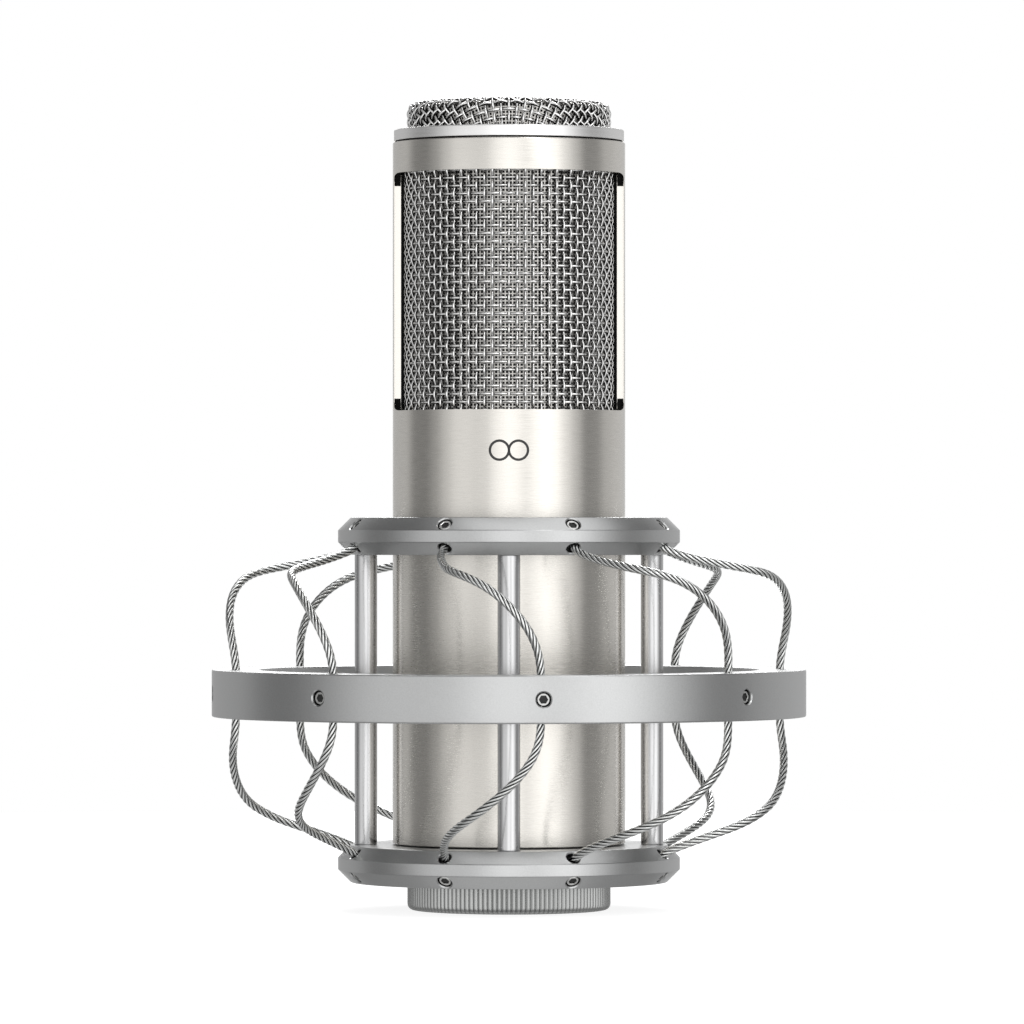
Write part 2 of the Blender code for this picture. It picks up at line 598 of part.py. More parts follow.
def make_stand_parts():
    """Bracket on the ring's back, swivel block on its tilt screw, and the stand's insert.

    In their own frame X runs along the tilt axis and Y points away from the microphone.
    """
    out = around(TILT_PIN_RADIUS, BRACKET_ANGLE, RING_Z + RING_HEIGHT / 2)
    pivot = Matrix.Translation(out) @ Matrix.Rotation(math.radians(BRACKET_ANGLE - 180.0), 4, "Z")
    foot_y = RING_RADIUS + GAP - TILT_PIN_RADIUS
    slot_half = TONGUE_WIDTH / 2 + TONGUE_CLEARANCE
    long_x = 2 * BRACKET_WIDTH

    bracket = block("stand_bracket", (BRACKET_WIDTH, -foot_y, BRACKET_HEIGHT),
                    (0, foot_y / 2, 0), PART, ANODISED, place=pivot)
    ears = rod("bracket_ears", EAR_RADIUS, pivot @ Vector((-BRACKET_WIDTH / 2, 0, 0)),
               pivot @ Vector((BRACKET_WIDTH / 2, 0, 0)), 24, CUTTERS)
    carve(bracket, [ears], "UNION")
    slot_start = foot_y + BRACKET_FOOT
    slot_length = 2 * EAR_RADIUS - slot_start
    slot = block("bracket_slot", (2 * slot_half, slot_length, 3 * BRACKET_HEIGHT),
                 (0, slot_start + slot_length / 2, 0), CUTTERS, place=pivot)
    pin_way = rod("bracket_pin_way", TILT_SCREW_RADIUS + GAP, pivot @ Vector((-long_x, 0, 0)),
                  pivot @ Vector((long_x, 0, 0)), 16, CUTTERS)
    carve(bracket, [slot, pin_way])

    barrel_top = -BARREL_BELOW_PIN
    barrel_end = barrel_top - BARREL_LENGTH
    tongue_radius = EAR_RADIUS - GAP
    swivel = turned("stand_swivel", [(0.0, barrel_top), (BARREL_RADIUS - EDGE_BREAK, barrel_top),
                                     (BARREL_RADIUS, barrel_top - EDGE_BREAK),
                                     (BARREL_RADIUS, barrel_end), (0.0, barrel_end)],
                    32, PART, SATIN_ALUMINIUM, closed=False, place=pivot)
    tongue = block("swivel_tongue", (TONGUE_WIDTH, 2 * tongue_radius, BARREL_BELOW_PIN + GAP),
                   (0, 0, barrel_top / 2 - GAP / 2), CUTTERS, place=pivot)
    half = TONGUE_WIDTH / 2
    round_end = rod("swivel_round", tongue_radius, pivot @ Vector((-half, 0, 0)),
                    pivot @ Vector((half, 0, 0)), 24, CUTTERS)
    carve(swivel, [tongue, round_end], "UNION")
    insert_top = barrel_end + INSERT_LENGTH
    well = rod("swivel_well", INSERT_RADIUS + GAP, pivot @ Vector((0, 0, barrel_end - GAP)),
               pivot @ Vector((0, 0, insert_top + GAP)), 24, CUTTERS)
    tongue_way = rod("swivel_pin_way", TILT_SCREW_RADIUS + GAP, pivot @ Vector((-long_x, 0, 0)),
                     pivot @ Vector((long_x, 0, 0)), 16, CUTTERS)
    carve(swivel, [well, tongue_way])
    turned("thread_insert", [(INSERT_RADIUS, insert_top), (INSERT_RADIUS, barrel_end),
                             (INSERT_BORE_RADIUS, barrel_end), (INSERT_BORE_RADIUS, insert_top)],
           24, PART, BRASS, place=pivot)

    knob_radius, knob_height = TILT_KNOB
    knob_face = BRACKET_WIDTH / 2 + GAP
    screw_profile = [(0.0, knob_face + knob_height), (knob_radius - EDGE_BREAK,
                                                      knob_face + knob_height),
                     (knob_radius, knob_face + knob_height - EDGE_BREAK),
                     (knob_radius, knob_face), (TILT_SCREW_RADIUS, knob_face),
                     (TILT_SCREW_RADIUS, -BRACKET_WIDTH / 2), (0.0, -BRACKET_WIDTH / 2)]
    turned("tilt_screw", screw_profile, 20, PART, STEEL, closed=False,
           place=pivot @ Matrix.Rotation(math.radians(-90), 4, "Y"))


# --------------------------------------------------------------------- build

for old in list(bpy.data.objects):
    bpy.data.objects.remove(old, do_unlink=True)

PART = bpy.data.collections.new("ribbon_microphone")
CUTTERS = bpy.data.collections.new("cutters")
bpy.context.scene.collection.children.link(PART)
bpy.context.scene.collection.children.link(CUTTERS)

CHAMPAGNE = make_material("champagne_nickel", (0.62, 0.58, 0.53), 0.28, 1.0)
NICKEL = make_material("satin_nickel", (0.75, 0.73, 0.70), 0.25, 1.0)
ANODISED = make_material("anodised_aluminium", (0.60, 0.60, 0.60), 0.45, 1.0)
SATIN_ALUMINIUM = make_material("satin_aluminium", (0.70, 0.70, 0.70), 0.35, 1.0)
POLISHED = make_material("polished_aluminium", (0.80, 0.80, 0.80), 0.15, 1.0)
MESH_METAL = make_material("woven_wire", (0.45, 0.45, 0.44), 0.30, 1.0)
DARK_METAL = make_material("dark_metal", (0.05, 0.05, 0.05), 0.50, 1.0)
STEEL = make_material("steel", (0.50, 0.50, 0.50), 0.35, 1.0)
BRASS = make_material("brass", (0.70, 0.50, 0.20), 0.35, 1.0)
GOLD = make_material("gold_plate", (0.85, 0.65, 0.25), 0.25, 1.0)
BLACK_PLASTIC = make_material("black_plastic", (0.02, 0.02, 0.02), 0.50, 0.0)
RUBBER = make_material("rubber", (0.02, 0.02, 0.02), 0.80, 0.0)

make_body()
make_side_grilles()
make_top()
make_base_and_connector()
make_chassis()
make_motor()
make_flange("upper_flange", UPPER_FLANGE_Z, BODY_RADIUS + SLIDE_GAP, 1)
make_flange("lower_flange", LOWER_FLANGE_Z, SPIGOT_RADIUS + SLIDE_GAP, -1,
            (WASHER_RADIUS + GAP, WASHER_THICKNESS + GAP))
make_posts()
make_nut()
make_ring()
make_ropes()
make_stand_parts()
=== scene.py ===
"""A ribbon microphone in its wire-rope shock mount, finished piece by piece.

Metres, +Z up, the front window towards -Y. Angles around the axis start at the front and grow
towards +X. The sections follow the order in which the microphone and its mount go together.
"""

import json
import math
import bmesh
import bpy
import numpy as np
from mathutils import Matrix, Vector


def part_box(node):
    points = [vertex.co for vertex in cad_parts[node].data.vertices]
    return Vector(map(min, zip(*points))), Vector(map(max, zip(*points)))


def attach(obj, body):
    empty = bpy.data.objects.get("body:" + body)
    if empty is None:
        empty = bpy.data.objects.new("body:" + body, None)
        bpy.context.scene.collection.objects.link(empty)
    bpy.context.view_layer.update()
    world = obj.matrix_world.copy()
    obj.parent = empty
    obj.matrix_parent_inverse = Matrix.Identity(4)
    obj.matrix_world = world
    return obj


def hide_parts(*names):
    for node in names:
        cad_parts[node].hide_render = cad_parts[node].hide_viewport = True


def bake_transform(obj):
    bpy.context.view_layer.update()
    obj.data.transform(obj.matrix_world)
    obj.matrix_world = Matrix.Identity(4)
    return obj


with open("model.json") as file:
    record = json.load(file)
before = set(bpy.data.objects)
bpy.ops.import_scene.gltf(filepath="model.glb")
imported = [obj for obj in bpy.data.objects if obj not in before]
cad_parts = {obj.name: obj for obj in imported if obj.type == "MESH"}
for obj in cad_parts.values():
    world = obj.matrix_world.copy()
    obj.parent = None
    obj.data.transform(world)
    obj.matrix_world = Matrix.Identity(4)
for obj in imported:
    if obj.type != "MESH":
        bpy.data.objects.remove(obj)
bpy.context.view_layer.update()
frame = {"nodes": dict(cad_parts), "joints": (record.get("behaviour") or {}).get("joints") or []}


# ------------------------------------------------------------------ studio
# A level camera with a long lens looks at the front window. The microphone stands on a pale
# table inside a low ring of bright walls, with dark gaps at both sides. A softbox hangs straight
# above, a large one behind and a small one in front.

MM = 0.001
nut_low, nut_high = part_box("locking_nut")
eye_height = nut_low.z + 92.3 * MM
eye_distance = 1.741
camera = bpy.data.cameras.new("camera")
camera.sensor_width = 36.0
camera.lens = 249.7
camera.clip_start = 0.05
camera.clip_end = 200.0
camera_object = bpy.data.objects.new("camera", camera)
camera_object.location = (0.74 * MM, -eye_distance, eye_height)
camera_object.rotation_euler = (math.radians(90.17), 0.0, 0.0)
bpy.context.scene.collection.objects.link(camera_object)
bpy.context.scene.camera = camera_object
bpy.context.scene.view_settings.view_transform = "Standard"

# Brightness of the tent's walls by angle around the axis, 0 at the camera's side; then of its
# gloom between walls, its ceiling, the zone below its walls and the zone straight below.
TENT = ((-180, 1.0), (-173, 0.95), (-165, 0.50), (-148, 0.50), (-124, 0.52), (-106, 0.25),
        (-91, 0.24), (-78, 0.40), (-65, 0.70), (-54, 0.95), (-43, 0.98), (-33, 0.92),
        (-21, 0.96), (-17, 1.22), (-8, 1.45), (0, 1.60), (7, 1.50), (17, 1.20), (27, 1.45),
        (37, 1.72), (48, 1.55), (59, 1.05), (70, 0.68), (83, 0.29), (97, 0.32), (113, 0.53),
        (133, 0.60), (150, 0.60), (165, 0.55), (173, 0.95), (180, 1.0))
GLOOM, CEILING, LOWER, UNDERSIDE = 0.17, 1.15, 0.20, 0.33


def add_node(tree, kind, inputs=(), **settings):
    """A shader node with its settings and its inputs, each of them a value or a socket."""
    made = tree.nodes.new("ShaderNode" + kind)
    for key, value in settings.items():
        setattr(made, key, value)
    for key, value in dict(inputs).items():
        if isinstance(value, bpy.types.NodeSocket):
            tree.links.new(value, made.inputs[key])
        else:
            made.inputs[key].default_value = value
    return made


def light_tent():
    """World light: low walls by angle around the axis, a ceiling patch and a faint underside.

    Brightness = gloom + walls(angle) * fall(|z|) + ceiling * rise(d . up) + lower * rise(-z)
    + underside * rise(-z), where d is the direction looked along and z its height. The nodes
    work with half of it, because a colour ramp holds no more than 1.
    """
    world = bpy.data.worlds.new("light_tent")
    bpy.context.scene.world = world
    world.use_nodes = True
    tree = world.node_tree
    tree.nodes.clear()

    def calc(operation, a, b=0.0):
        return add_node(tree, "Math", {0: a, 1: b}, operation=operation).outputs[0]

    def rise(value, start, end, low, high):
        limits = {"Value": value, "From Min": start, "From Max": end, "To Min": low,
                  "To Max": high}
        return add_node(tree, "MapRange", limits, interpolation_type="SMOOTHSTEP").outputs[0]

    direction = add_node(tree, "TexCoord").outputs["Generated"]
    x, y, z = add_node(tree, "SeparateXYZ", {0: direction}).outputs
    turn = calc("ARCTAN2", x, calc("MULTIPLY", y, -1.0))
    share = calc("ADD", calc("DIVIDE", turn, math.tau), 0.5)
    ramp = add_node(tree, "ValToRGB", {"Fac": share})
    ramp.color_ramp.interpolation = "EASE"
    stops = ramp.color_ramp.elements
    stops.remove(stops[-1])
    for i, (angle, bright) in enumerate(TENT):
        stop = stops[0] if i == 0 else stops.new((angle + 180) / 360)
        stop.position = (angle + 180) / 360
        stop.color = (bright / 2, bright / 2, bright / 2, 1.0)
    walls = calc("MULTIPLY", calc("ADD", ramp.outputs["Color"], -GLOOM / 2),
                 rise(calc("ABSOLUTE", z), 0.28, 0.62, 1.0, 0.0))
    above = add_node(tree, "VectorMath", {0: direction, 1: (0.16, 0.0, 0.987)},
                     operation="DOT_PRODUCT").outputs["Value"]
    down = calc("MULTIPLY", z, -1.0)
    light = calc("ADD", walls, rise(above, 0.80, 0.95, 0.0, CEILING / 2))
    low = rise(down, 0.42, 0.70, GLOOM / 2, (GLOOM + LOWER) / 2)
    light = calc("ADD", light, calc("ADD", low, rise(down, 0.80, 0.97, 0.0, UNDERSIDE / 2)))
    tent = add_node(tree, "Background", {"Color": light, "Strength": 2.0}).outputs[0]
    paper = add_node(tree, "Background", {"Color": (1.0, 1.0, 1.0, 1.0)}).outputs[0]
    seen = add_node(tree, "LightPath").outputs["Is Camera Ray"]
    either = add_node(tree, "MixShader", {"Fac": seen, 1: tent, 2: paper}).outputs[0]
    add_node(tree, "OutputWorld", {"Surface": either})


def table_top():
    """A round pale table top under the locking nut, a little luminous so that it stays pale."""
    mesh, table_radius = bpy.data.meshes.new("table_top"), 0.62
    turn = np.linspace(0.0, math.tau, 96, endpoint=False)
    rim = np.column_stack([table_radius * np.cos(turn), table_radius * np.sin(turn),
                           np.full(len(turn), nut_low.z - 0.02 * MM)])
    mesh.from_pydata(rim, [], [list(range(len(turn)))])
    table = bpy.data.objects.new("table_top", mesh)
    bpy.context.scene.collection.objects.link(table)
    paint = bpy.data.materials.new("table_paint")
    paint.use_nodes = True
    shader = paint.node_tree.nodes["Principled BSDF"]
    for socket, value in (("Base Color", (0.50, 0.50, 0.50, 1.0)), ("Roughness", 1.0),
                          ("Specular IOR Level", 0.0), ("Emission Color", (1.0, 1.0, 1.0, 1.0)),
                          ("Emission Strength", 0.82)):
        shader.inputs[socket].default_value = value
    mesh.materials.append(paint)
    table.visible_glossy = False


light_tent()
table_top()

for name, spot, size, power in (("back_softbox", (0.0, 1.15, 0.95), (0.7, 0.6), 11.0),
                                ("front_softbox", (0.55, -1.0, 1.15), (0.5, 0.5), 3.2)):
    softbox = bpy.data.lights.new(name, "AREA")
    softbox.shape = "RECTANGLE"
    softbox.size, softbox.size_y = size
    softbox.energy = power
    softbox_object = bpy.data.objects.new(name, softbox)
    softbox_object.location = spot
    aim = Vector((0.0, 0.0, 0.05)) - Vector(spot)
    softbox_object.rotation_euler = aim.to_track_quat("-Z", "Y").to_euler()
    bpy.context.scene.collection.objects.link(softbox_object)


# --------------------------------------------------------------- body tube
# A drawn brass tube, turned, brushed around its axis and plated in a warm satin nickel. A long
# window is milled through its front and its back, and two narrow pillars are left between them.

def points_of(mesh):
    """A mesh's points as rows of x, y, z."""
    points = np.empty(len(mesh.vertices) * 3)
    mesh.vertices.foreach_get("co", points)
    return points.reshape(-1, 3)


def mesh_of(name, points, faces, crown=None):
    """A mesh from whole arrays: points by rows of x, y, z, faces by rows of corner numbers.

    Corners closer than a tenth of a micron are joined, which closes seams and poles, and the
    faces are turned outwards if the mesh's signed volume, the sum of its corners' triple
    products, is below zero. crown, if given, is stored with each point for painted shade.
    """
    mesh = bpy.data.meshes.new(name)
    mesh.from_pydata(np.asarray(points, float).reshape(-1, 3), [], faces)
    if crown is not None:
        store = mesh.attributes.new("crown", "FLOAT", "POINT")
        store.data.foreach_set("value", np.asarray(crown, np.float32).ravel())
    joined = bmesh.new()
    joined.from_mesh(mesh)
    bmesh.ops.remove_doubles(joined, verts=joined.verts, dist=1e-7)
    joined.to_mesh(mesh)
    joined.free()
    mesh.calc_loop_triangles()
    corners = np.empty(len(mesh.loop_triangles) * 3, int)
    mesh.loop_triangles.foreach_get("vertices", corners)
    a, b, c = points_of(mesh)[corners.reshape(-1, 3)].transpose(1, 0, 2)
    if np.einsum("ij,ij->i", a, np.cross(b, c)).sum() < 0:
        mesh.flip_normals()
    return mesh


def grid_faces(rows, columns, wrap_rows=False, wrap_columns=True, first=0):
    """Corner numbers of the quads of a grid: each cell joins a row's point to the next ones."""
    row = np.arange(rows if wrap_rows else rows - 1)
    column = np.arange(columns if wrap_columns else columns - 1)
    row, column = np.meshgrid(row, column, indexing="ij")
    below, beside = (row + 1) % rows, (column + 1) % columns
    quads = np.stack([row * columns + column, below * columns + column,
                      below * columns + beside, row * columns + beside], axis=-1)
    return quads.reshape(-1, 4) + first


def softened(corners, steps=4):
    """A closed outline with rounded corners, from rows of (across, up, cut).

    Each corner is left at cut before it and met again at cut after it, along the curve
    (1-t)^2 p + 2 t (1-t) corner + t^2 q.
    """
    rows = np.asarray(corners, float)
    corner, cut = rows[:, None, :2], rows[:, None, 2:3]
    before = np.roll(corner, 1, axis=0) - corner
    after = np.roll(corner, -1, axis=0) - corner
    p = corner + cut * before / np.linalg.norm(before, axis=2, keepdims=True)
    q = corner + cut * after / np.linalg.norm(after, axis=2, keepdims=True)
    t = np.linspace(0.0, 1.0, steps + 1)[None, :, None]
    return ((1 - t) ** 2 * p + 2 * t * (1 - t) * corner + t ** 2 * q).reshape(-1, 2)


def around_axis(radius, turn, height):
    """Points around Z, from the front and towards +X: x = r sin a, y = -r cos a, z = height."""
    return np.stack(np.broadcast_arrays(radius * np.sin(turn), -radius * np.cos(turn), height),
                    axis=-1)


def full_turn(segments):
    """Even angles around the axis, without the last one that would meet the first."""
    return np.linspace(0.0, math.tau, segments, endpoint=False)


def swept(name, radii, heights, segments, closed=True):
    """A skin through rows of points around Z, each row with its radii and its heights."""
    points = around_axis(radii, full_turn(segments), heights)
    return mesh_of(name, points, grid_faces(len(radii), segments, wrap_rows=closed))


def turned(name, outline, segments, closed=True):
    """Turn an outline of (radius, height) about Z."""
    radius, height = np.asarray(outline, float).T[:, :, None]
    return swept(name, radius, height, segments, closed)


def prism(name, outline, depth):
    """A bar with the given 3-D outline as its end, drawn out along the vector depth."""
    outline, depth = np.asarray(outline, float), np.asarray(depth, float)
    middle = np.broadcast_to(outline.mean(axis=0), outline.shape)
    rows = np.stack([middle, outline, outline + depth, middle + depth])
    return mesh_of(name, rows, grid_faces(4, len(outline)))


def collar(name, outer, inner, low, high, cuts, segments):
    """A turned tube; cuts are its corners' roundings: outer top and bottom, inner bottom, top."""
    corners = ((outer, high), (outer, low), (inner, low), (inner, high))
    return turned(name, softened([(*at, cut) for at, cut in zip(corners, cuts)]), segments)


def merged(name, meshes):
    """One mesh of several, each still its own closed shell."""
    points, crowns, faces, count = [], [], [], 0
    for mesh in meshes:
        points.append(points_of(mesh))
        crown = np.zeros(len(mesh.vertices), np.float32)
        if "crown" in mesh.attributes:
            mesh.attributes["crown"].data.foreach_get("value", crown)
        crowns.append(crown)
        faces += [[count + v for v in face.vertices] for face in mesh.polygons]
        count += len(mesh.vertices)
        bpy.data.meshes.remove(mesh)
    whole = bpy.data.meshes.new(name)
    whole.from_pydata(np.concatenate(points), [], faces)
    store = whole.attributes.new("crown", "FLOAT", "POINT")
    store.data.foreach_set("value", np.concatenate(crowns))
    return whole


def modified(mesh, kind, **settings):
    """The mesh after one modifier with these settings, applied on a holder object."""
    holder = bpy.data.objects.new("holder", mesh)
    bpy.context.scene.collection.objects.link(holder)
    modifier = holder.modifiers.new(kind.lower(), kind)
    for key, value in settings.items():
        setattr(modifier, key, value)
    graph = bpy.context.evaluated_depsgraph_get()
    result = bpy.data.meshes.new_from_object(holder.evaluated_get(graph))
    result.name = mesh.name
    bpy.data.objects.remove(holder)
    bpy.data.meshes.remove(mesh)
    return result


def machined(mesh, tool, operation="DIFFERENCE"):
    """The mesh after a tool mesh is cut from it, or joined to it."""
    cutter = bpy.data.objects.new("cutter", tool)
    bpy.context.scene.collection.objects.link(cutter)
    result = modified(mesh, "BOOLEAN", operation=operation, object=cutter, solver="EXACT")
    bpy.data.objects.remove(cutter)
    bpy.data.meshes.remove(tool)
    return result


def metal(name, colour, roughness, grain, stretch=(1.0, 1.0, 1.0), depth=4e-6, spread=0.06,
          shade=0.06, metallic=1.0):
    """A Principled finish with a grain: one noise moves its colour, roughness and relief.

    grain is the noise's marks per metre along each axis before stretch multiplies it, depth
    the relief in metres, spread the roughness's share either way and shade the colour's.
    """
    material = bpy.data.materials.new(name)
    material.use_nodes = True
    tree = material.node_tree
    shader = tree.nodes["Principled BSDF"]
    shader.inputs["Metallic"].default_value = metallic
    place = add_node(tree, "TexCoord").outputs["Object"]
    place = add_node(tree, "Mapping", {"Vector": place, "Scale": stretch}).outputs["Vector"]
    noise = add_node(tree, "TexNoise", {"Vector": place, "Scale": grain,
                                        "Detail": 3.0}).outputs["Fac"]
    rough = add_node(tree, "MapRange", {"Value": noise, "To Min": roughness * (1 - 3 * spread),
                                        "To Max": roughness * (1 + 3 * spread)})
    dark = (*[c * (1 - 2 * shade) for c in colour], 1.0)
    light = (*[min(1.0, c * (1 + 2 * shade)) for c in colour], 1.0)
    tint = add_node(tree, "Mix", {"Factor": noise, "A": dark, "B": light}, data_type="RGBA",
                    name="tint")
    relief = add_node(tree, "Bump", {"Height": noise, "Distance": depth})
    for socket, made in (("Roughness", rough), ("Base Color", tint), ("Normal", relief)):
        output = "Normal" if made is relief else "Result"
        tree.links.new(made.outputs[output], shader.inputs[socket])
    return material


def shaped(mesh, material, slot, *nodes, sharp=32):
    """Make a finished piece of a mesh: smooth but for edges sharper than sharp degrees."""
    mesh.shade_smooth()
    mesh.set_sharp_from_angle(angle=math.radians(sharp))
    mesh.materials.clear()
    mesh.materials.append(material)
    piece = bpy.data.objects.new(mesh.name, mesh)
    bpy.context.scene.collection.objects.link(piece)
    if nodes:
        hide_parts(*nodes)
    return piece


def fitted(mesh, material, body, slot, *nodes, sharp=32):
    """A finished piece that rides one body."""
    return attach(shaped(mesh, material, slot, *nodes, sharp=sharp), body)


GAP = 0.3 * MM
body_low, body_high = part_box("body_tube")
body_radius, body_wall = body_high.x, 1.9 * MM
body_bore = body_radius - body_wall
sill_z, head_z = body_high.z - 65.7 * MM, body_high.z - 7.7 * MM
pillar_half = 3.0 * MM

body_mesh = collar("body_tube_shell", body_radius, body_bore, body_low.z, body_high.z,
                   (0.3 * MM, 0.3 * MM, 0.1 * MM, 0.1 * MM), 240)
window_half, corner = body_radius - 0.40 * MM, 3.0 * MM
for side in (-1, 1):
    # Seen from the side the window ends in large fillets, from the front in small ones.
    profile = softened([(side * 60 * MM, head_z, 0.5 * MM), (side * 60 * MM, sill_z, 0.5 * MM),
                        (side * pillar_half, sill_z, corner),
                        (side * pillar_half, head_z, corner)], steps=8)
    across = np.column_stack([np.full(len(profile), -40 * MM), profile])
    front = softened([(-window_half, head_z, 1.4 * MM), (window_half, head_z, 1.4 * MM),
                      (window_half, sill_z, 1.4 * MM), (-window_half, sill_z, 1.4 * MM)], steps=6)
    through = np.column_stack([front[:, 0], np.zeros(len(front)), front[:, 1]])
    window = machined(prism("window", across, (80 * MM, 0, 0)),
                      prism("face", through, (0, side * 50 * MM, 0)), "INTERSECT")
    body_mesh = machined(body_mesh, window)

champagne = metal("brushed_champagne_nickel", (0.755, 0.73, 0.685), 0.26, 1.0,
                  stretch=(330.0, 330.0, 6200.0), depth=2.0e-6, spread=0.10, shade=0.10)
shader = champagne.node_tree.nodes["Principled BSDF"]
shader.inputs["Anisotropic"].default_value = 0.80
shader.inputs["Anisotropic Rotation"].default_value = 0.25
tangent = add_node(champagne.node_tree, "Tangent", direction_type="RADIAL", axis="Z")
champagne.node_tree.links.new(tangent.outputs["Tangent"], shader.inputs["Tangent"])
fitted(body_mesh, champagne, "microphone", "champagne_nickel", "body_tube")


# ------------------------------------------------------------ painted window shade
# Black sheets in the milled corners of the windows are painted reflection of dark surroundings,
# and a black strip behind each pillar is painted shadow in the gap between the tube and the
# grille.

# Painted reflection and shade: flat black for the window fillets and the gap under the top ring.
painted_shade_black = metal("black_lacquer", (0.006, 0.006, 0.006), 0.7, 3000.0, depth=2e-6, metallic=0.0)
painted_shade_black.node_tree.nodes["Principled BSDF"].inputs["Specular IOR Level"].default_value = 0.1
strips = []
for side in (-1, 1):
    for edge, way in ((sill_z, 1), (head_z, -1)):
        # The fillet's arc moved into the metal and a little out of it, as a thin bent strip.
        turn = np.linspace(0.0, math.pi / 2, 9)
        arcs = [np.column_stack([side * (pillar_half + corner - reach * np.cos(turn)),
                                 edge + way * (corner - reach * np.sin(turn))])
                for reach in (corner + 0.3 * MM, corner - 0.12 * MM)]
        arc = np.vstack([arcs[0], arcs[1][::-1]])
        for end in (-1, 1):
            tube = np.sqrt(body_radius ** 2 - arc[:, 0] ** 2)
            rows = np.stack([np.column_stack([end * (x - 0.1 * MM), arc]) for x in
                             (np.full(len(arc), body_bore), np.minimum(window_half, tube))])
            middle = rows.mean(axis=1, keepdims=True) + np.zeros_like(rows)
            strips.append(mesh_of("strip", np.concatenate([middle[:1], rows, middle[1:]]),
                                  grid_faces(4, len(arc))))
fitted(merged("window_corner_lacquer", strips), painted_shade_black, "microphone", "champagne_nickel")
# Painted shadow: a black strip behind each pillar stands for the deep shade between the tube and
# the grille.
gap_strips = []
for end in (-1, 1):
    edge = softened([(end * (body_bore - 1.9 * MM), -1.4 * MM, 0.2 * MM),
                     (end * (body_bore - 0.05 * MM), -1.4 * MM, 0.2 * MM),
                     (end * (body_bore - 0.05 * MM), 1.4 * MM, 0.2 * MM),
                     (end * (body_bore - 1.9 * MM), 1.4 * MM, 0.2 * MM)], steps=2)
    felt = np.column_stack([edge, np.full(len(edge), sill_z - 1.0 * MM)])
    gap_strips.append(prism("felt", felt, (0, 0, head_z - sill_z + 2.0 * MM)))
gap_shade_black = metal("black_felt", (0.01, 0.01, 0.01), 0.95, 2500.0, depth=3e-5, metallic=0.0)
fitted(merged("pillar_felts", gap_strips), gap_shade_black, "microphone", "fine_mesh")


# ----------------------------------------------------------- pickup symbol
# Two touching rings, the usual sign for a microphone that hears from the front and the back,
# printed in dark paint under the front window.

def printed_sign():
    """Two circles (x = c + r cos a, z = h + r sin a) laid as flat bands on the tube's front.

    A band point at x is carried to y = -sqrt(R^2 - x^2), with R just outside the tube.
    """
    turn = np.linspace(0.0, math.tau, 48, endpoint=False)
    circle, band, height = 2.3 * MM, 0.30 * MM, sill_z - 9.9 * MM
    shells = []
    for side in (-1, 1):
        rows = []
        for radius, lift in ((circle - band, 0.0), (circle - band, 0.03), (circle + band, 0.03),
                             (circle + band, 0.0)):
            x = side * circle + radius * np.cos(turn)
            surface = body_radius + (lift - 0.02) * MM
            rows.append(np.stack([x, -np.sqrt(surface ** 2 - x ** 2),
                                  height + radius * np.sin(turn)], axis=-1))
        shells.append(mesh_of("sign", np.stack(rows), grid_faces(4, 48, wrap_rows=True)))
    return merged("pickup_symbol", shells)


sign_paint = metal("sign_paint", (0.03, 0.03, 0.03), 0.55, 4000.0, depth=2e-6, metallic=0.0)
fitted(printed_sign(), sign_paint, "microphone", "champagne_nickel")


# --------------------------------------------- base cap, connector, chassis
# The turned base cap closes the tube and carries the threaded spigot that the nut grips. The
# connector's insulator and its gold-plated pins sit inside. Rails, the transformer can and the
# bulkhead stand on it inside the tube.

def threaded(name, radius, wall, bottom, top, pitch, depth, rows_per_turn, run_out, segments=96):
    """A threaded sleeve from bottom to top, closed by a plain wall at radius wall.

    With w = |2 * frac(z / pitch - a / tau) - 1| the thread's radius is radius - depth * w. A
    nut's thread has a negative depth. Over run_out at both ends the groove fills the ridge.
    """
    height = np.linspace(bottom, top, int((top - bottom) / pitch * rows_per_turn) + 2)[:, None]
    wave = np.abs(2 * ((height / pitch - full_turn(segments) / math.tau) % 1.0) - 1)
    from_end = np.minimum(height - bottom, top - height)
    fade = np.clip(from_end / run_out, 0, 1) if run_out else 1.0
    ridge = radius - depth * (1 - fade + fade * wave)
    flat = np.full_like(ridge[:1], wall)
    return swept(name, np.concatenate([flat, ridge, flat]),
                 np.concatenate([height[:1], height, height[-1:]]), segments)


cap_low, cap_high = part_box("base_cap")
insulator_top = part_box("connector_insulator")[1].z
socket_radius, wire_hole = 8.2 * MM, 6.5 * MM
spigot_radius = 19.8 * MM
seat = body_low.z
spigot_core = spigot_radius - 0.9 * MM
satin_aluminium = metal("turned_aluminium", (0.70, 0.70, 0.70), 0.34, 1.0,
                        stretch=(300.0, 300.0, 2600.0), depth=3e-6)
cap = turned("base_cap_turned", softened([
    (cap_high.x, cap_high.z, 0.4 * MM), (cap_high.x, seat, 0.3 * MM),
    (spigot_core, seat, 0.1 * MM), (spigot_core, cap_low.z, 0.3 * MM),
    (socket_radius, cap_low.z, 0.4 * MM), (socket_radius, insulator_top + GAP, 0.1 * MM),
    (wire_hole, insulator_top + GAP, 0.1 * MM), (wire_hole, cap_high.z, 0.2 * MM)]), 120)
fitted(cap, satin_aluminium, "microphone", "satin_aluminium", "base_cap")
thread_pitch = 1.5 * MM
fitted(threaded("spigot_thread", spigot_radius, spigot_core + 0.02 * MM, cap_low.z + 0.2 * MM,
                seat - 1.0 * MM, thread_pitch, 0.7 * MM, 6, 0.6 * thread_pitch),
       satin_aluminium, "microphone", "satin_aluminium", sharp=80)


def finish_nodes(material, *names):
    """Give CAD nodes whose shape is already right their material."""
    for name in names:
        data = frame["nodes"][name].data
        data.materials.clear()
        data.materials.append(material)


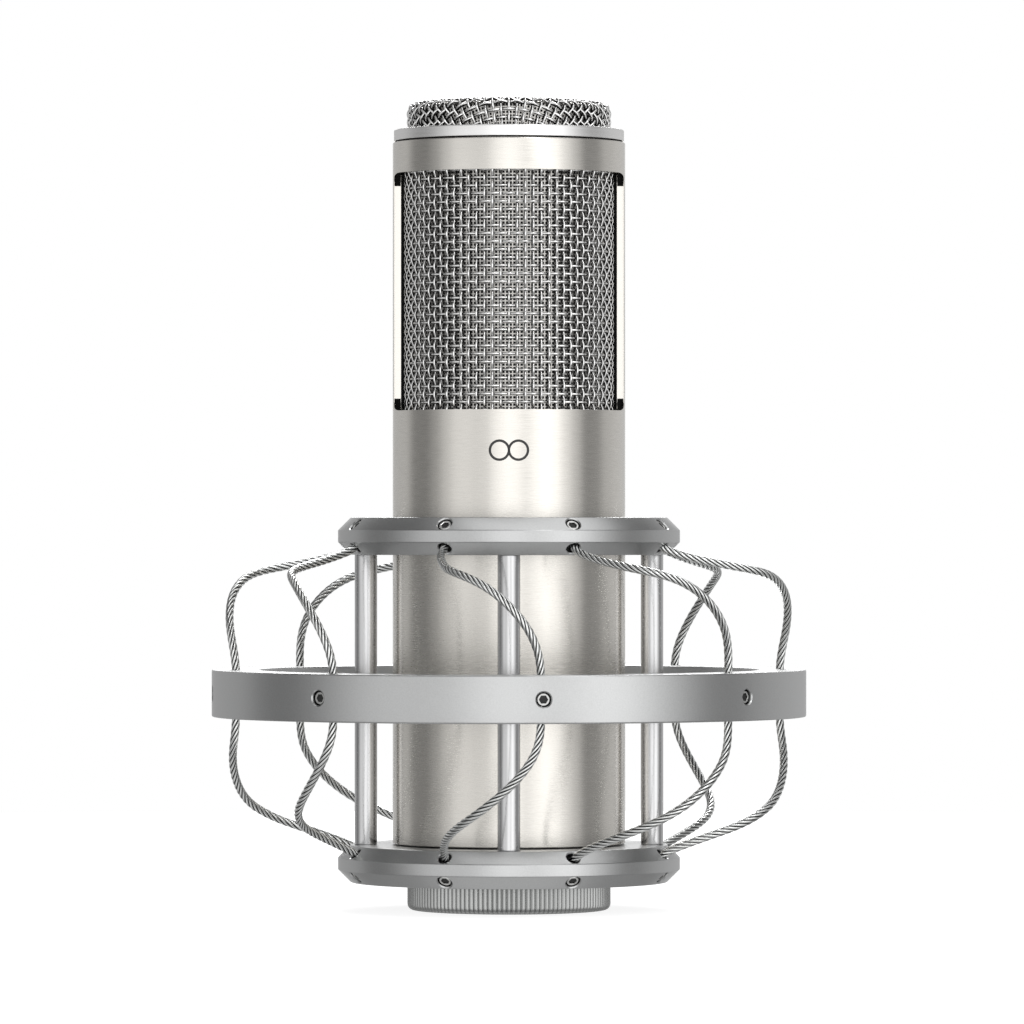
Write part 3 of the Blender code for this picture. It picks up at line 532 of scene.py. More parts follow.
black_plastic = metal("moulded_black", (0.025, 0.025, 0.027), 0.45, 2500.0, depth=4e-6,
                      metallic=0.0)
gold = metal("gold_plate", (0.86, 0.64, 0.27), 0.22, 3000.0, depth=1e-6)
chassis_metal = metal("milled_chassis", (0.62, 0.62, 0.63), 0.38, 1.0,
                      stretch=(900.0, 120.0, 900.0), depth=3e-6)
can_paint = metal("crackle_paint", (0.06, 0.06, 0.065), 0.55, 1500.0, depth=2e-5, metallic=0.0)
rubber = metal("isolator_rubber", (0.03, 0.03, 0.03), 0.85, 2000.0, depth=8e-6, metallic=0.0)
finish_nodes(black_plastic, "connector_insulator")
finish_nodes(chassis_metal, "chassis_rail_left", "chassis_rail_right", "bulkhead")
finish_nodes(can_paint, "transformer_can")
finish_nodes(rubber, "motor_isolator_left", "motor_isolator_right")

PIN_COUNT = 3
for number in range(1, PIN_COUNT + 1):
    pin_low, pin_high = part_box(f"connector_pin_{number}")
    middle = (pin_low + pin_high) / 2
    radius = (pin_high.x - pin_low.x) / 2
    # A pin's nose is half an ellipse: r = R sin a, z = low + 1.4 R (1 - cos a).
    nose = np.linspace(0.0, math.pi / 2, 7)
    outline = np.column_stack([radius * np.sin(nose),
                               pin_low.z + 1.4 * radius * (1 - np.cos(nose))])
    outline = np.vstack([outline, [radius, pin_high.z], [0.0, pin_high.z]])
    pin = turned(f"connector_pin_{number}_plated", outline, 28, closed=False)
    pin.transform(Matrix.Translation((middle.x, middle.y, 0.0)))
    fitted(pin, gold, "microphone", "gold_plate", f"connector_pin_{number}")


# ------------------------------------------------------------ ribbon motor
# A steel frame on rubber feet holds two bar magnets. The ribbon between them is a corrugated
# leaf of aluminium, held top and bottom in brass clamps.

ribbon_low, ribbon_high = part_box("ribbon")
frame_steel = metal("blackened_steel", (0.09, 0.09, 0.10), 0.45, 1200.0, depth=5e-6)
magnet_plate = metal("magnet_plate", (0.62, 0.61, 0.58), 0.20, 900.0, depth=2e-6)
brass = metal("turned_brass", (0.74, 0.56, 0.29), 0.30, 1.0, stretch=(400.0, 400.0, 2600.0),
              depth=3e-6)
leaf = metal("ribbon_leaf", (0.87, 0.87, 0.88), 0.18, 2500.0, depth=1e-6)
finish_nodes(frame_steel, "motor_frame")
finish_nodes(magnet_plate, "magnet_left", "magnet_right")
finish_nodes(brass, "ribbon_clamp_top", "ribbon_clamp_bottom")

height = np.linspace(ribbon_low.z, ribbon_high.z, 481)
wave = 0.07 * MM * np.cos(math.tau * (height - ribbon_low.z) / (0.9 * MM))
edge = np.array([ribbon_low.x, ribbon_high.x, ribbon_high.x, ribbon_low.x])
face = np.array([-0.01, -0.01, 0.01, 0.01]) * MM
rows = np.stack(np.broadcast_arrays(edge, wave[:, None] + face, height[:, None]), axis=-1)
ends = [np.broadcast_to(rows[i].mean(axis=0), (1, 4, 3)) for i in (0, -1)]
ribbon = mesh_of("ribbon_leaf", np.concatenate([ends[0], rows, ends[1]]),
                 grid_faces(len(rows) + 2, 4))
fitted(ribbon, leaf, "microphone", "ribbon_aluminium", "ribbon", sharp=50)


# ------------------------------------------------------------ side grille
# Nickel-plated wire in a plain weave, rolled into a tube behind the windows. A finer mesh lies
# behind it, bonded to a black lining that hides the ribbon motor.

def wires(name, paths, outward, radius, sides, closed, phase=0.0):
    """Round wires along many paths at once: paths and outward are (wire, point, xyz).

    Each section is p + r (cos a * n + sin a * (t x n)), with n the outward direction and t the
    path's direction, from the difference of a point's neighbours. A point's crown is cos a.
    """
    if closed:
        along = np.roll(paths, -1, axis=1) - np.roll(paths, 1, axis=1)
    else:
        along = np.gradient(paths, axis=1)
    along /= np.linalg.norm(along, axis=2, keepdims=True)
    outward = outward - along * np.sum(outward * along, axis=2, keepdims=True)
    outward /= np.linalg.norm(outward, axis=2, keepdims=True)
    across = np.cross(along, outward)
    turn = phase + np.linspace(0.0, math.tau, sides, endpoint=False)[:, None]
    rings = (paths[:, :, None] + radius * (np.cos(turn) * outward[:, :, None]
                                           + np.sin(turn) * across[:, :, None]))
    if not closed:
        caps = [np.broadcast_to(paths[:, i][:, None, None], (len(paths), 1, sides, 3))
                for i in (0, -1)]
        rings = np.concatenate([caps[0], rings, caps[1]], axis=1)
    one = grid_faces(rings.shape[1], sides, wrap_rows=closed)
    step = rings.shape[1] * sides
    faces = (one[None] + step * np.arange(len(paths))[:, None, None]).reshape(-1, 4)
    crown = np.broadcast_to(np.cos(turn[:, 0]), rings.shape[:3])
    return mesh_of(name, rings, faces, crown)


def tube_wires(name, radius, turn, height, wire, sides, closed, phase=0.0):
    """Wires around or along the tube, from their radii, angles and heights."""
    return wires(name, around_axis(radius, turn, height), around_axis(1.0, turn, 0.0), wire,
                 sides, closed, phase)


grille_low, grille_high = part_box("side_grille")
weave_wire, weave_wave = 0.29 * MM, 0.29 * MM
weave_radius = body_bore - 0.65 * MM - weave_wire - weave_wave
WARP_COUNT = 80
weft_pitch = 1.94 * MM
weft_count = int((grille_high.z - grille_low.z) / weft_pitch)
first_weft = (grille_low.z + grille_high.z) / 2 - weft_pitch * (weft_count - 1) / 2


def painted_side_shade(material, dark, start, end):
    """Colour = finish * rise(crown) + dark * (1 - rise(crown)), rising from start to end.

    A wire's outer side stays bright, and painted shade darkens it where it turns in, where shade
    falls between wires and strands.
    """
    tree = material.node_tree
    crown = add_node(tree, "Attribute", attribute_name="crown").outputs["Fac"]
    unshaded_share = add_node(tree, "MapRange", {"Value": crown, "From Min": start, "From Max": end},
                     interpolation_type="SMOOTHSTEP").outputs["Result"]
    tint = tree.nodes["tint"].outputs["Result"]
    painted_shade_colour = add_node(tree, "Mix", {"Factor": unshaded_share, "A": (dark, dark, dark, 1.0), "B": tint},
                     data_type="RGBA").outputs["Result"]
    tree.links.new(painted_shade_colour, tree.nodes["Principled BSDF"].inputs["Base Color"])
    return material


# Painted shade: the woven wires' sides and backs are darkened by their crown.
bright_wire = painted_side_shade(metal("bright_nickel_wire", (0.90, 0.89, 0.87), 0.18, 3500.0,
                                   depth=2e-6, shade=0.08), 0.03, 0.05, 0.60)

# Upright wires: at angle a_i the radius is R + w cos(pi (z - z0) / pitch + pi i).
number = np.arange(WARP_COUNT)[:, None]
height = np.linspace(grille_low.z + GAP, grille_high.z - GAP, weft_count * 5)[None, :]
turn = math.tau * number / WARP_COUNT + np.zeros_like(height)
place = (height - first_weft) / weft_pitch
radius = weave_radius + weave_wave * np.cos(math.pi * (place + number))
fitted(tube_wires("side_grille_upright_wires", radius, turn, height, weave_wire, 6, False),
       bright_wire, "microphone", "woven_wire", "side_grille", sharp=80)

# Hoop wires: at height z_j the radius is R - w cos(pi (i + j)), i running on around the tube.
number = np.arange(weft_count)[:, None]
share = np.linspace(0.0, WARP_COUNT, WARP_COUNT * 5, endpoint=False)[None, :]
turn = math.tau * share / WARP_COUNT + np.zeros(number.shape)
radius = weave_radius - weave_wave * np.cos(math.pi * (share + number))
height = first_weft + weft_pitch * number
fitted(tube_wires("side_grille_hoop_wires", radius, turn, height, weave_wire, 6, True),
       bright_wire, "microphone", "woven_wire", sharp=80)

liner_low, liner_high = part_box("side_grille_liner")
fine_pitch, fine_wire = 0.88 * MM, 0.205 * MM
fine_radius = liner_high.x - 0.12 * MM
SQUARE = math.pi / 4
fine_metal = metal("flat_fine_wire", (0.45, 0.44, 0.42), 0.28, 3500.0, depth=2e-6, shade=0.10)
fine_count = 2 * round(math.pi * fine_radius / fine_pitch)
turn = full_turn(fine_count)[:, None] + np.zeros((1, 2))
height = np.array([liner_low.z, liner_high.z])
fine_upright = tube_wires("fine_upright", fine_radius, turn, height, fine_wire, 4, False, SQUARE)
rows = np.arange(liner_low.z + fine_pitch / 2, liner_high.z, fine_pitch)[:, None]
turn = full_turn(120)[None, :] + np.zeros(rows.shape)
fine_hoops = tube_wires("fine_hoops", fine_radius + 0.03 * MM, turn, rows, fine_wire, 4, True,
                        SQUARE)
fitted(merged("side_fine_mesh", [fine_upright, fine_hoops]), fine_metal, "microphone",
       "fine_mesh")

lining = metal("black_lining", (0.008, 0.008, 0.008), 0.95, 3000.0, depth=1e-5, metallic=0.0)
finish_nodes(lining, "side_grille_liner", "top_grille_liner")


# ---------------------------------------------------- top ring and top grille
# A turned ring drops into the tube and clamps the top grille, the same woven wire pressed into
# a flat dome. A narrow gap stays between the ring and the tube, and a black band in it is painted
# shade.

ring_low, ring_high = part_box("top_ring")
ring_base = body_high.z + 0.39 * MM
lip_radius, shelf_radius = body_bore - 0.4 * MM, 23.2 * MM
dome_low, dome_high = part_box("top_grille")
dome_radius, dome_corner, dome_crown = dome_high.x, 2.7 * MM, 1.3 * MM
shelf_z = dome_low.z - GAP
top_ring = turned("top_ring_turned", softened([
    (ring_high.x, ring_high.z, 0.3 * MM), (ring_high.x, ring_base, 0.15 * MM),
    (lip_radius, ring_base, 0.05 * MM), (lip_radius, ring_low.z, 0.2 * MM),
    (shelf_radius, ring_low.z, 0.2 * MM), (shelf_radius, shelf_z, 0.1 * MM),
    (dome_radius + GAP, shelf_z, 0.05 * MM), (dome_radius + GAP, ring_high.z, 0.2 * MM)]), 240)
satin_nickel = metal("satin_nickel", (0.97, 0.96, 0.945), 0.36, 1.0,
                     stretch=(60.0, 60.0, 3600.0), depth=3e-6)
fitted(top_ring, satin_nickel, "microphone", "satin_nickel", "top_ring")
# Painted shade: a black band fills the gap between the tube's top and the ring.
gap_shade_band = collar("top_ring_gasket", ring_high.x - 0.35 * MM, lip_radius - 0.05 * MM,
                body_high.z - 0.02 * MM, ring_base + 0.02 * MM, [0.02 * MM] * 4, 240)
fitted(gap_shade_band, painted_shade_black, "microphone", "satin_nickel")


def dome_point(across, along, inset):
    """Carry a point of a flat round blank onto the dome, and give the outward direction too.

    The blank's distance from its middle runs along the dome's outline: an almost flat crown
    that falls by crown * (s / flat)^2, a quarter circle, and then straight down the side.
    """
    bend, flat = dome_corner - inset, dome_radius - dome_corner
    reach = np.hypot(across, along) + 1e-12
    angle = np.clip((reach - flat) / bend, 0.0, math.pi / 2)
    down = np.maximum(reach - flat - math.pi / 2 * bend, 0.0)
    radius = np.minimum(reach, flat) + bend * np.sin(angle)
    level = np.minimum(reach / flat, 1.0)
    fall = dome_crown * level ** 2 + bend * (1 - np.cos(angle))
    tilt = np.maximum(angle, 2 * dome_crown / flat * level)
    out_x, out_y = across / reach, along / reach
    point = np.stack([radius * out_x, radius * out_y, dome_high.z - inset - fall - down],
                     axis=-1)
    normal = np.stack([np.sin(tilt) * out_x, np.sin(tilt) * out_y, np.cos(tilt)], axis=-1)
    return point, normal


def dome_wires(name, pitch, wire, wave, inset, samples, sides, phase=0.0):
    """A square weave on the dome: wires along u and v at even pitch, waving in and out by turns.

    The inward and outward wave is w cos(pi (u / pitch + k)) along wire k.
    """
    side = dome_high.z - dome_crown - dome_corner - dome_low.z
    reach = dome_radius - dome_corner + math.pi / 2 * (dome_corner - inset) + side
    half = int((reach - 0.5 * pitch) / pitch)
    number = np.arange(-half, half + 1)[:, None]
    place = pitch * number
    length = np.sqrt(reach ** 2 - place ** 2)
    way = np.linspace(-1.0, 1.0, samples)[None, :] * length
    shells = []
    for direction in (0, 1):
        steps = np.cos(math.pi * (way / pitch + number)) * wave * (1 if direction else -1)
        u, v = (place + 0 * way, way) if direction else (way, place + 0 * way)
        point, normal = dome_point(u, v, inset)
        shells.append(wires("strand", point + normal * steps[..., None], normal, wire, sides,
                            False, phase))
    return merged(name, shells)


fitted(dome_wires("top_grille_weave", 2.0 * MM, weave_wire, weave_wave, 0.60 * MM, 170, 8),
       bright_wire, "microphone", "woven_wire", "top_grille", sharp=80)
fitted(dome_wires("top_fine_mesh", fine_pitch, fine_wire, 0.0, 1.12 * MM, 60, 4, SQUARE),
       fine_metal, "microphone", "fine_mesh")


# ------------------------------------------------------------------ flanges
# Two bevelled aluminium flanges, turned, bead-blasted and clear anodised. Rope holes are drilled
# square into the inner bevels, clamp-screw holes into the outer bevels, both with a bright
# countersunk rim, and the post screws sit in counterbores.

ROPE_COUNT = 8
rope_angles = -22.5 + 360.0 / ROPE_COUNT * np.arange(ROPE_COUNT)
flange_bevel, rope_hole, clamp_hole = 3.1 * MM, 1.65 * MM, 1.8 * MM
clamp_screw, clamp_socket = 1.5 * MM, 0.90 * MM
POST_NAMES = ("front", "right", "back", "left")
post_radius = 2.75 * MM
post_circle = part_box("post_right")[0].x + post_radius
rim_cut = 0.28 * MM

anodised = metal("blasted_anodised_aluminium", (0.52, 0.525, 0.525), 0.31, 3200.0, depth=7e-6,
                 spread=0.05, shade=0.07)


def around(radius, angle, height=0.0):
    """The point at a radius, an angle in degrees from the front, and a height."""
    turn = math.radians(angle)
    return Vector((radius * math.sin(turn), -radius * math.cos(turn), height))


def standing(spot, direction):
    """The placement whose Z axis runs along direction from spot."""
    return Matrix.Translation(spot) @ direction.to_track_quat("Z", "Y").to_matrix().to_4x4()


def drill(radius, depth, rim, place, segments=28):
    """A drill's swept shape: depth below the surface, with a 45 degree countersink of rim."""
    over = 1.0 * MM
    outline = [(0.0, -depth), (radius, -depth), (radius, -rim), (radius + rim + over, over),
               (0.0, over)]
    tool = turned("drill", outline, segments, closed=False)
    tool.transform(place)
    return tool


def socket_screw(radius, length, socket, depth, place, head=None, segments=36):
    """A screw with a hexagon socket in its outer end, which lies at Z = 0.

    The hexagon's radius at angle a is flat / cos(((a + 30) mod 60) - 30). head, if given, is
    a wider (radius, height) at the outer end.
    """
    hexagon = socket / np.cos((full_turn(segments) + math.pi / 6) % (math.pi / 3) - math.pi / 6)
    wide, tall = head or (radius, length)
    lip = 0.12 * MM
    rows = [(0.0, -length), (radius - lip, -length), (radius, -length + lip)]
    if head:
        rows += [(radius, -tall), (wide, -tall)]
    rows += [(wide, -lip), (wide - lip, 0.0)]
    radii = [np.full(segments, r) for r, z in rows]
    heights = [z for r, z in rows]
    for share, z in ((1.12, 0.0), (1.0, -0.08 * MM), (1.0, -depth), (0.0, -depth - 0.3 * socket)):
        radii.append(share * hexagon)
        heights.append(z)
    screw = swept("screw", np.array(radii), np.array(heights)[:, None], segments, False)
    screw.transform(place)
    return screw


def socket_floor(socket, place):
    """A black plug a third of a millimetre down a hexagon socket, painted shade for its shadowed
    floor.
    """
    reach, high, low = socket / math.cos(math.pi / 6), -0.35 * MM, -0.75 * MM
    floor = turned("socket_floor", [(0.0, high), (reach, high), (reach, low), (0.0, low)], 6,
                   closed=False)
    floor.transform(place)
    return floor


# Painted shade: the screws' socket floors are flat black where their shade falls.
black_oxide = metal("black_oxide", (0.012, 0.012, 0.012), 0.6, 3000.0, depth=2e-6, metallic=0.0)
screw_steel = metal("plated_screw_steel", (0.58, 0.58, 0.57), 0.24, 2600.0, depth=2e-6)
post_head, post_socket = (2.6 * MM, 2.4 * MM), 1.25 * MM


def make_flange(node, bore, facing, recess=None):
    """A flange of an octagonal section; facing is 1 where its outer side is up."""
    low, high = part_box(node)
    rim, flat = high.x, high.x - flange_bevel
    corners = [(flat, high.z, 0.18 * MM), (rim, high.z - flange_bevel, 0.18 * MM),
               (rim, low.z + flange_bevel, 0.18 * MM), (flat, low.z, 0.18 * MM)]
    if recess:
        corners += [(recess[0], low.z, 0.1 * MM), (recess[0], low.z + recess[1], 0.05 * MM),
                    (bore, low.z + recess[1], 0.1 * MM)]
    else:
        corners.append((bore, low.z, 0.2 * MM))
    corners.append((bore, high.z, 0.2 * MM))
    blank = turned(node + "_turned", softened(corners, steps=3), 240)
    middle = (low.z + high.z) / 2
    step = (high.z - low.z) / 2 - flange_bevel / 2
    mouth = rim - flange_bevel / 2
    screws, floors = [], []
    for sign, radius in ((-facing, rope_hole), (facing, clamp_hole)):
        tools = []
        for angle in rope_angles:
            spot = around(mouth, angle, middle + sign * step)
            out = (around(1.0, angle) + Vector((0, 0, sign))).normalized()
            place = standing(spot, out)
            tools.append(drill(radius, step * math.sqrt(2) + 0.4 * MM, rim_cut, place))
            if sign == facing:
                sunk = place @ Matrix.Translation((0, 0, -0.42 * MM))
                screws.append(socket_screw(clamp_screw, 2.3 * MM, clamp_socket, 1.2 * MM, sunk))
                floors.append(socket_floor(clamp_socket, sunk))
        blank = machined(blank, merged("drills", tools))
    outside = middle + facing * (high.z - low.z) / 2
    tools = []
    for i in range(len(POST_NAMES)):
        place = standing(around(post_circle, 90.0 * i, outside), Vector((0, 0, facing)))
        tools.append(drill(post_head[0] + GAP, post_head[1] + 0.6 * MM, 0.2 * MM, place))
    blank = machined(blank, merged("drills", tools))
    fitted(blank, anodised, "cage", "anodised_aluminium", node)
    fitted(merged(node + "_clamp_screws", screws), screw_steel, "cage", "screw_steel")
    fitted(merged(node + "_clamp_sockets", floors), black_oxide, "cage", "screw_steel")


washer_low, washer_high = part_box("thrust_washer")
make_flange("upper_flange", body_radius + GAP, 1)
make_flange("lower_flange", spigot_radius + GAP, -1,
            (washer_high.x + GAP, washer_high.z - washer_low.z + GAP))


# -------------------------------------------------------------------- posts
# Four polished aluminium posts hold the flanges apart. A socket-head screw goes through each
# flange into each end.

upper_face, lower_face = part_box("upper_flange")[0].z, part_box("lower_flange")[1].z
polished = metal("polished_aluminium", (0.62, 0.62, 0.625), 0.22, 1.0,
                 stretch=(1500.0, 1500.0, 60.0), depth=2e-6, spread=0.12)
for i, name in enumerate(POST_NAMES):
    post = collar(f"post_{name}_polished", post_radius, 1.5 * MM, lower_face + 0.03 * MM,
                  upper_face - 0.03 * MM, (0.12 * MM, 0.12 * MM, 0.05 * MM, 0.05 * MM), 64)
    post.transform(Matrix.Translation(around(post_circle, 90.0 * i)))
    fitted(post, polished, "cage", "polished_aluminium", f"post_{name}")
    for end, facing in (("upper", 1), ("lower", -1)):
        node = f"post_screw_{end}_{name}"
        low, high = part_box(node)
        face = high.z if facing == 1 else low.z
        place = standing(around(post_circle, 90.0 * i, face), Vector((0, 0, facing)))
        screw = socket_screw(1.2 * MM, high.z - low.z, post_socket, 1.4 * MM, place, post_head)
        screw.name = node + "_head"
        fitted(screw, screw_steel, "cage", "screw_steel", node)
        floor = socket_floor(post_socket, place)
        floor.name = node + "_socket"
        fitted(floor, black_oxide, "cage", "screw_steel")


# ------------------------------------------------------ washer and locking nut
# The knurled aluminium nut draws the microphone down onto the lower flange. Its straight knurl
# was rolled before anodising, and a plastic washer runs above it.

washer = collar("thrust_washer_turned", washer_high.x, spigot_radius + GAP, washer_low.z,
                washer_high.z, [0.15 * MM] * 4, 120)
fitted(washer, black_plastic, "washer", "black_plastic", "thrust_washer")

KNURL_COUNT = 130


def knurled(name, radius, low, high, round_low, round_high, bore, count, depth, samples=8):
    """A ring with a straight knurl on its rim.

    The rim's radius is r(z) - depth * fade(z) * exp(-((f - 0.5) / 0.2)^2), with f the place
    within one rib from 0 to 1; r(z) rounds off at both ends, where the knurl fades.
    """
    outline = softened([(radius, high, round_high), (radius, low, round_low),
                        (bore, low, 0.25 * MM), (bore, high, 0.25 * MM)], steps=8)
    inner, level = outline[:, :1], outline[:, 1:]
    groove = np.exp(-(((full_turn(count * samples) * count / math.tau) % 1.0 - 0.5) / 0.2) ** 2)
    fade = np.clip((inner - (radius - 0.75 * round_low)) / (0.6 * round_low), 0.0, 1.0)
    return swept(name, inner - depth * fade * groove, level, count * samples)


knurl_metal = metal("knurled_aluminium", (0.40, 0.405, 0.40), 0.28, 2800.0, depth=4e-6)
nut = knurled("locking_nut_knurled", nut_high.x, nut_low.z, nut_high.z, 1.9 * MM, 0.35 * MM,
              spigot_radius + GAP, KNURL_COUNT, 0.34 * MM)
fitted(nut, knurl_metal, "nut", "satin_aluminium", "locking_nut", sharp=60)


# --------------------------------------------------------------- outer ring
# A turned and blasted aluminium ring. Each rope passes straight through it, and a clamp screw
# from the rim pins the rope.

hoop_low, hoop_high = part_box("outer_ring")
hoop_radius, hoop_wall = hoop_high.x, 11.6 * MM
rope_circle = hoop_radius - hoop_wall / 2
rope_twist = 29.0
hoop_middle = (hoop_low.z + hoop_high.z) / 2
half_way = (hoop_high.z - hoop_low.z) / 2 - 0.05 * MM
hoop = collar("outer_ring_turned", hoop_radius, hoop_radius - hoop_wall, hoop_low.z, hoop_high.z,
              [0.45 * MM] * 4, 360)
through, side, screws, floors = [], [], [], []
for angle in rope_angles + rope_twist:
    for face, facing in ((hoop_high.z, 1), (hoop_low.z, -1)):
        place = standing(around(rope_circle, angle, face), Vector((0, 0, facing)))
        through.append(drill(rope_hole, half_way, rim_cut, place))
    out = around(1.0, angle)
    place = standing(around(hoop_radius, angle, hoop_middle), out)
    side.append(drill(clamp_hole, hoop_wall / 2, rim_cut, place))
    sunk = place @ Matrix.Translation((0, 0, -0.75 * MM))
    screws.append(socket_screw(clamp_screw, 3.8 * MM, clamp_socket, 1.3 * MM, sunk))
    floors.append(socket_floor(clamp_socket, sunk))
hoop = machined(machined(hoop, merged("drills", through)), merged("drills", side))
fitted(hoop, anodised, "ring", "anodised_aluminium", "outer_ring")
fitted(merged("ring_clamp_screw_set", screws), screw_steel, "ring", "screw_steel",
       *[f"ring_clamp_screw_{i}" for i in range(1, ROPE_COUNT + 1)])
fitted(merged("ring_clamp_sockets", floors), black_oxide, "ring", "screw_steel")


# --------------------------------------------------------------- wire ropes
# Eight galvanised steel ropes, each six strands laid right-handed around a core. A rope leaves
# the upper flange, drops through the ring and comes back to the lower flange, and its own
# stiffness is the mount's spring.

rope_radius = 0.9 * MM
rope_lay = 11.5 * MM
# The way from a flange (0, 0, 0) to the ring (1, 1, 1): out, up or down, and around.
UPPER_ROUTE = ((0.19, 0.06, 0.05), (0.39, 0.105, 0.145), (0.69, 0.16, 0.275), (0.88, 0.205, 0.42),
               (0.985, 0.29, 0.6), (1.045, 0.43, 0.76), (1.055, 0.63, 0.905), (1.02, 0.84, 0.985))
LOWER_ROUTE = ((0.335, 0.11, 0.145), (0.6, 0.19, 0.28), (0.78, 0.265, 0.41), (0.92, 0.37, 0.575),
               (1.0, 0.53, 0.77), (1.03, 0.715, 0.925), (1.01, 0.87, 0.99))


def rope_half(route, angle, node, facing, ring_face):
    """A rope's chosen points from inside a flange to the ring's face."""
    low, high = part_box(node)
    thick, middle = high.z - low.z, (low.z + high.z) / 2
    meeting, step = high.x - thick / 2, thick / 2 - flange_bevel / 2
    exit_radius, exit_z = meeting + step, middle + facing * step
    points = [around(meeting + rope_radius, angle, middle + facing * rope_radius),
              around(exit_radius, angle, exit_z)]
    for outward, along, twist in route:
        points.append(around(exit_radius + outward * (rope_circle - exit_radius),
                             angle + twist * rope_twist,
                             exit_z + along * (ring_face - exit_z)))
    points.append(around(rope_circle, angle + rope_twist, ring_face))
    return points


def spaced(line, spacing):
    """Evenly spaced points of a line given by close ones, and how far along each one is."""
    length = np.append(0.0, np.cumsum(np.linalg.norm(np.diff(line, axis=0), axis=1)))
    even = np.linspace(0.0, length[-1], max(2, round(length[-1] / spacing)) + 1)
    return np.column_stack([np.interp(even, length, line[:, i]) for i in range(3)]), even


def even_curve(points, spacing, ease_step=0.5 * MM, ease_passes=50):
    """Even points on the Catmull-Rom curve through the chosen ones, its bends eased.

    A pass of easing moves every inner point b between a and c by (a - 2 b + c) / 4.
    """
    p = np.array([2 * points[0] - points[1], *points, 2 * points[-1] - points[-2]])
    t = np.linspace(0.0, 1.0, 24, endpoint=False)[None, :, None]
    a, b, c, d = p[:-3, None], p[1:-2, None], p[2:-1, None], p[3:, None]
    fine = 0.5 * (2 * b + (c - a) * t + (2 * a - 5 * b + 4 * c - d) * t ** 2
                  + (3 * b - a - 3 * c + d) * t ** 3)
    line = spaced(np.vstack([fine.reshape(-1, 3), p[-2]]), ease_step)[0]
    for _ in range(ease_passes):
        line[1:-1] += (line[:-2] - 2 * line[1:-1] + line[2:]) / 4
    return spaced(line, spacing)


def laid_rope(name, points):
    """Six strands around a core: strand k's centre is c + r (cos w n + sin w b).

    w grows with the length by one turn a lay, n and b are square to the rope, and b stays as
    near as it can to the direction around the microphone. The core is a plain wire.
    """
    centre, length = even_curve(points, 0.42 * MM)
    along = np.gradient(centre, axis=0)
    along /= np.linalg.norm(along, axis=1, keepdims=True)
    flat = centre * np.array([1.0, 1.0, 0.0])
    beside = np.cross(np.array([0.0, 0.0, 1.0]), flat)
    beside -= along * np.sum(beside * along, axis=1, keepdims=True)
    beside /= np.linalg.norm(beside, axis=1, keepdims=True)
    normal = np.cross(beside, along)
    strand, rope_outside = 0.34 * MM, 1.0 * MM
    phase = math.tau * (length / rope_lay + np.arange(6)[:, None] / 6)[..., None]
    outward = np.cos(phase) * normal + np.sin(phase) * beside
    paths = centre + outward * (rope_outside - strand)
    strands = wires(name + "_strands", paths, outward, strand * 1.04, 10, False)
    core = wires(name + "_core", centre[None], normal[None], strand * 1.2, 6, False)
    return merged(name, [strands, core])


# Painted shade: the grooves between a rope's strands are darkened by their crown.
rope_material = painted_side_shade(metal("galvanised_rope", (0.82, 0.83, 0.82), 0.22, 5000.0,
                                     depth=8e-6, spread=0.10, shade=0.10), 0.02, 0.25, 0.85)
for i, angle in enumerate(rope_angles, start=1):
    route = rope_half(UPPER_ROUTE, angle, "upper_flange", -1, hoop_high.z)
    route += rope_half(LOWER_ROUTE, angle, "lower_flange", 1, hoop_low.z)[::-1]
    rope = shaped(laid_rope(f"rope_{i}_laid", route), rope_material, "wire_rope",
                  f"rope_{i}", sharp=80)
    end = around(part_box("upper_flange")[1].x + 0.4 * MM, angle, hoop_middle)
    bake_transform(rope)


# -------------------------------------------------------------- stand parts
# Behind the ring a milled bracket holds a swivel block on a thumb screw. The block's barrel
# takes a threaded brass insert for a microphone stand. Their own X runs along the tilt axis.

tilt = next(joint for joint in frame["joints"] if joint["name"] == "stand_tilt")
tilt_axis = Vector(tilt["axis"])
pivot = Matrix.Translation(tilt["pos_m"]) @ tilt_axis.to_track_quat("X", "Z").to_matrix().to_4x4()
bracket_width, bracket_height, ear = 17.0 * MM, 11.0 * MM, 6.5 * MM
foot = hoop_radius + GAP - Vector(tilt["pos_m"]).xy.length
slot_half, pin_hole, pin_reach = 5.0 * MM, 3.3 * MM, 20 * MM


def side_plate(name, outline, half):
    """A plate from a side outline of (away, up), drawn out along X by half either way."""
    ends = np.column_stack([np.full(len(outline), -half), outline])
    return prism(name, ends, (2 * half, 0, 0))


def cross_bar(radius, half, segments=40):
    """A round bar along X."""
    bar = turned("bar", [(0.0, -half), (radius, -half), (radius, half), (0.0, half)], segments,
                 closed=False)
    bar.transform(Matrix.Rotation(math.pi / 2, 4, "Y"))
    return bar


def eased(mesh, width):
    """The mesh with its sharp edges rounded by a Bevel of the given width."""
    return modified(mesh, "BEVEL", width=width, segments=2, limit_method="ANGLE",
                    angle_limit=math.radians(50))


turn = np.linspace(-math.pi / 2, math.pi / 2, 25)
nose = np.column_stack([ear * np.cos(turn), ear * np.sin(turn)])
half_height = bracket_height / 2
outline = np.vstack([[foot, -half_height], [-ear * 0.9, -half_height], nose,
                     [-ear * 0.9, half_height], [foot, half_height]])
bracket = side_plate("stand_bracket_milled", outline, bracket_width / 2)
slot_outline = softened([(foot + 6.0 * MM, -9 * MM, 1.0 * MM), (12 * MM, -9 * MM, 0.5 * MM),
                         (12 * MM, 9 * MM, 0.5 * MM), (foot + 6.0 * MM, 9 * MM, 1.0 * MM)])
bracket = eased(machined(bracket, side_plate("slot", slot_outline, slot_half)), 0.35 * MM)
bracket = machined(bracket, cross_bar(pin_hole, pin_reach))
bracket.transform(pivot)
fitted(bracket, anodised, "ring", "anodised_aluminium", "stand_bracket")

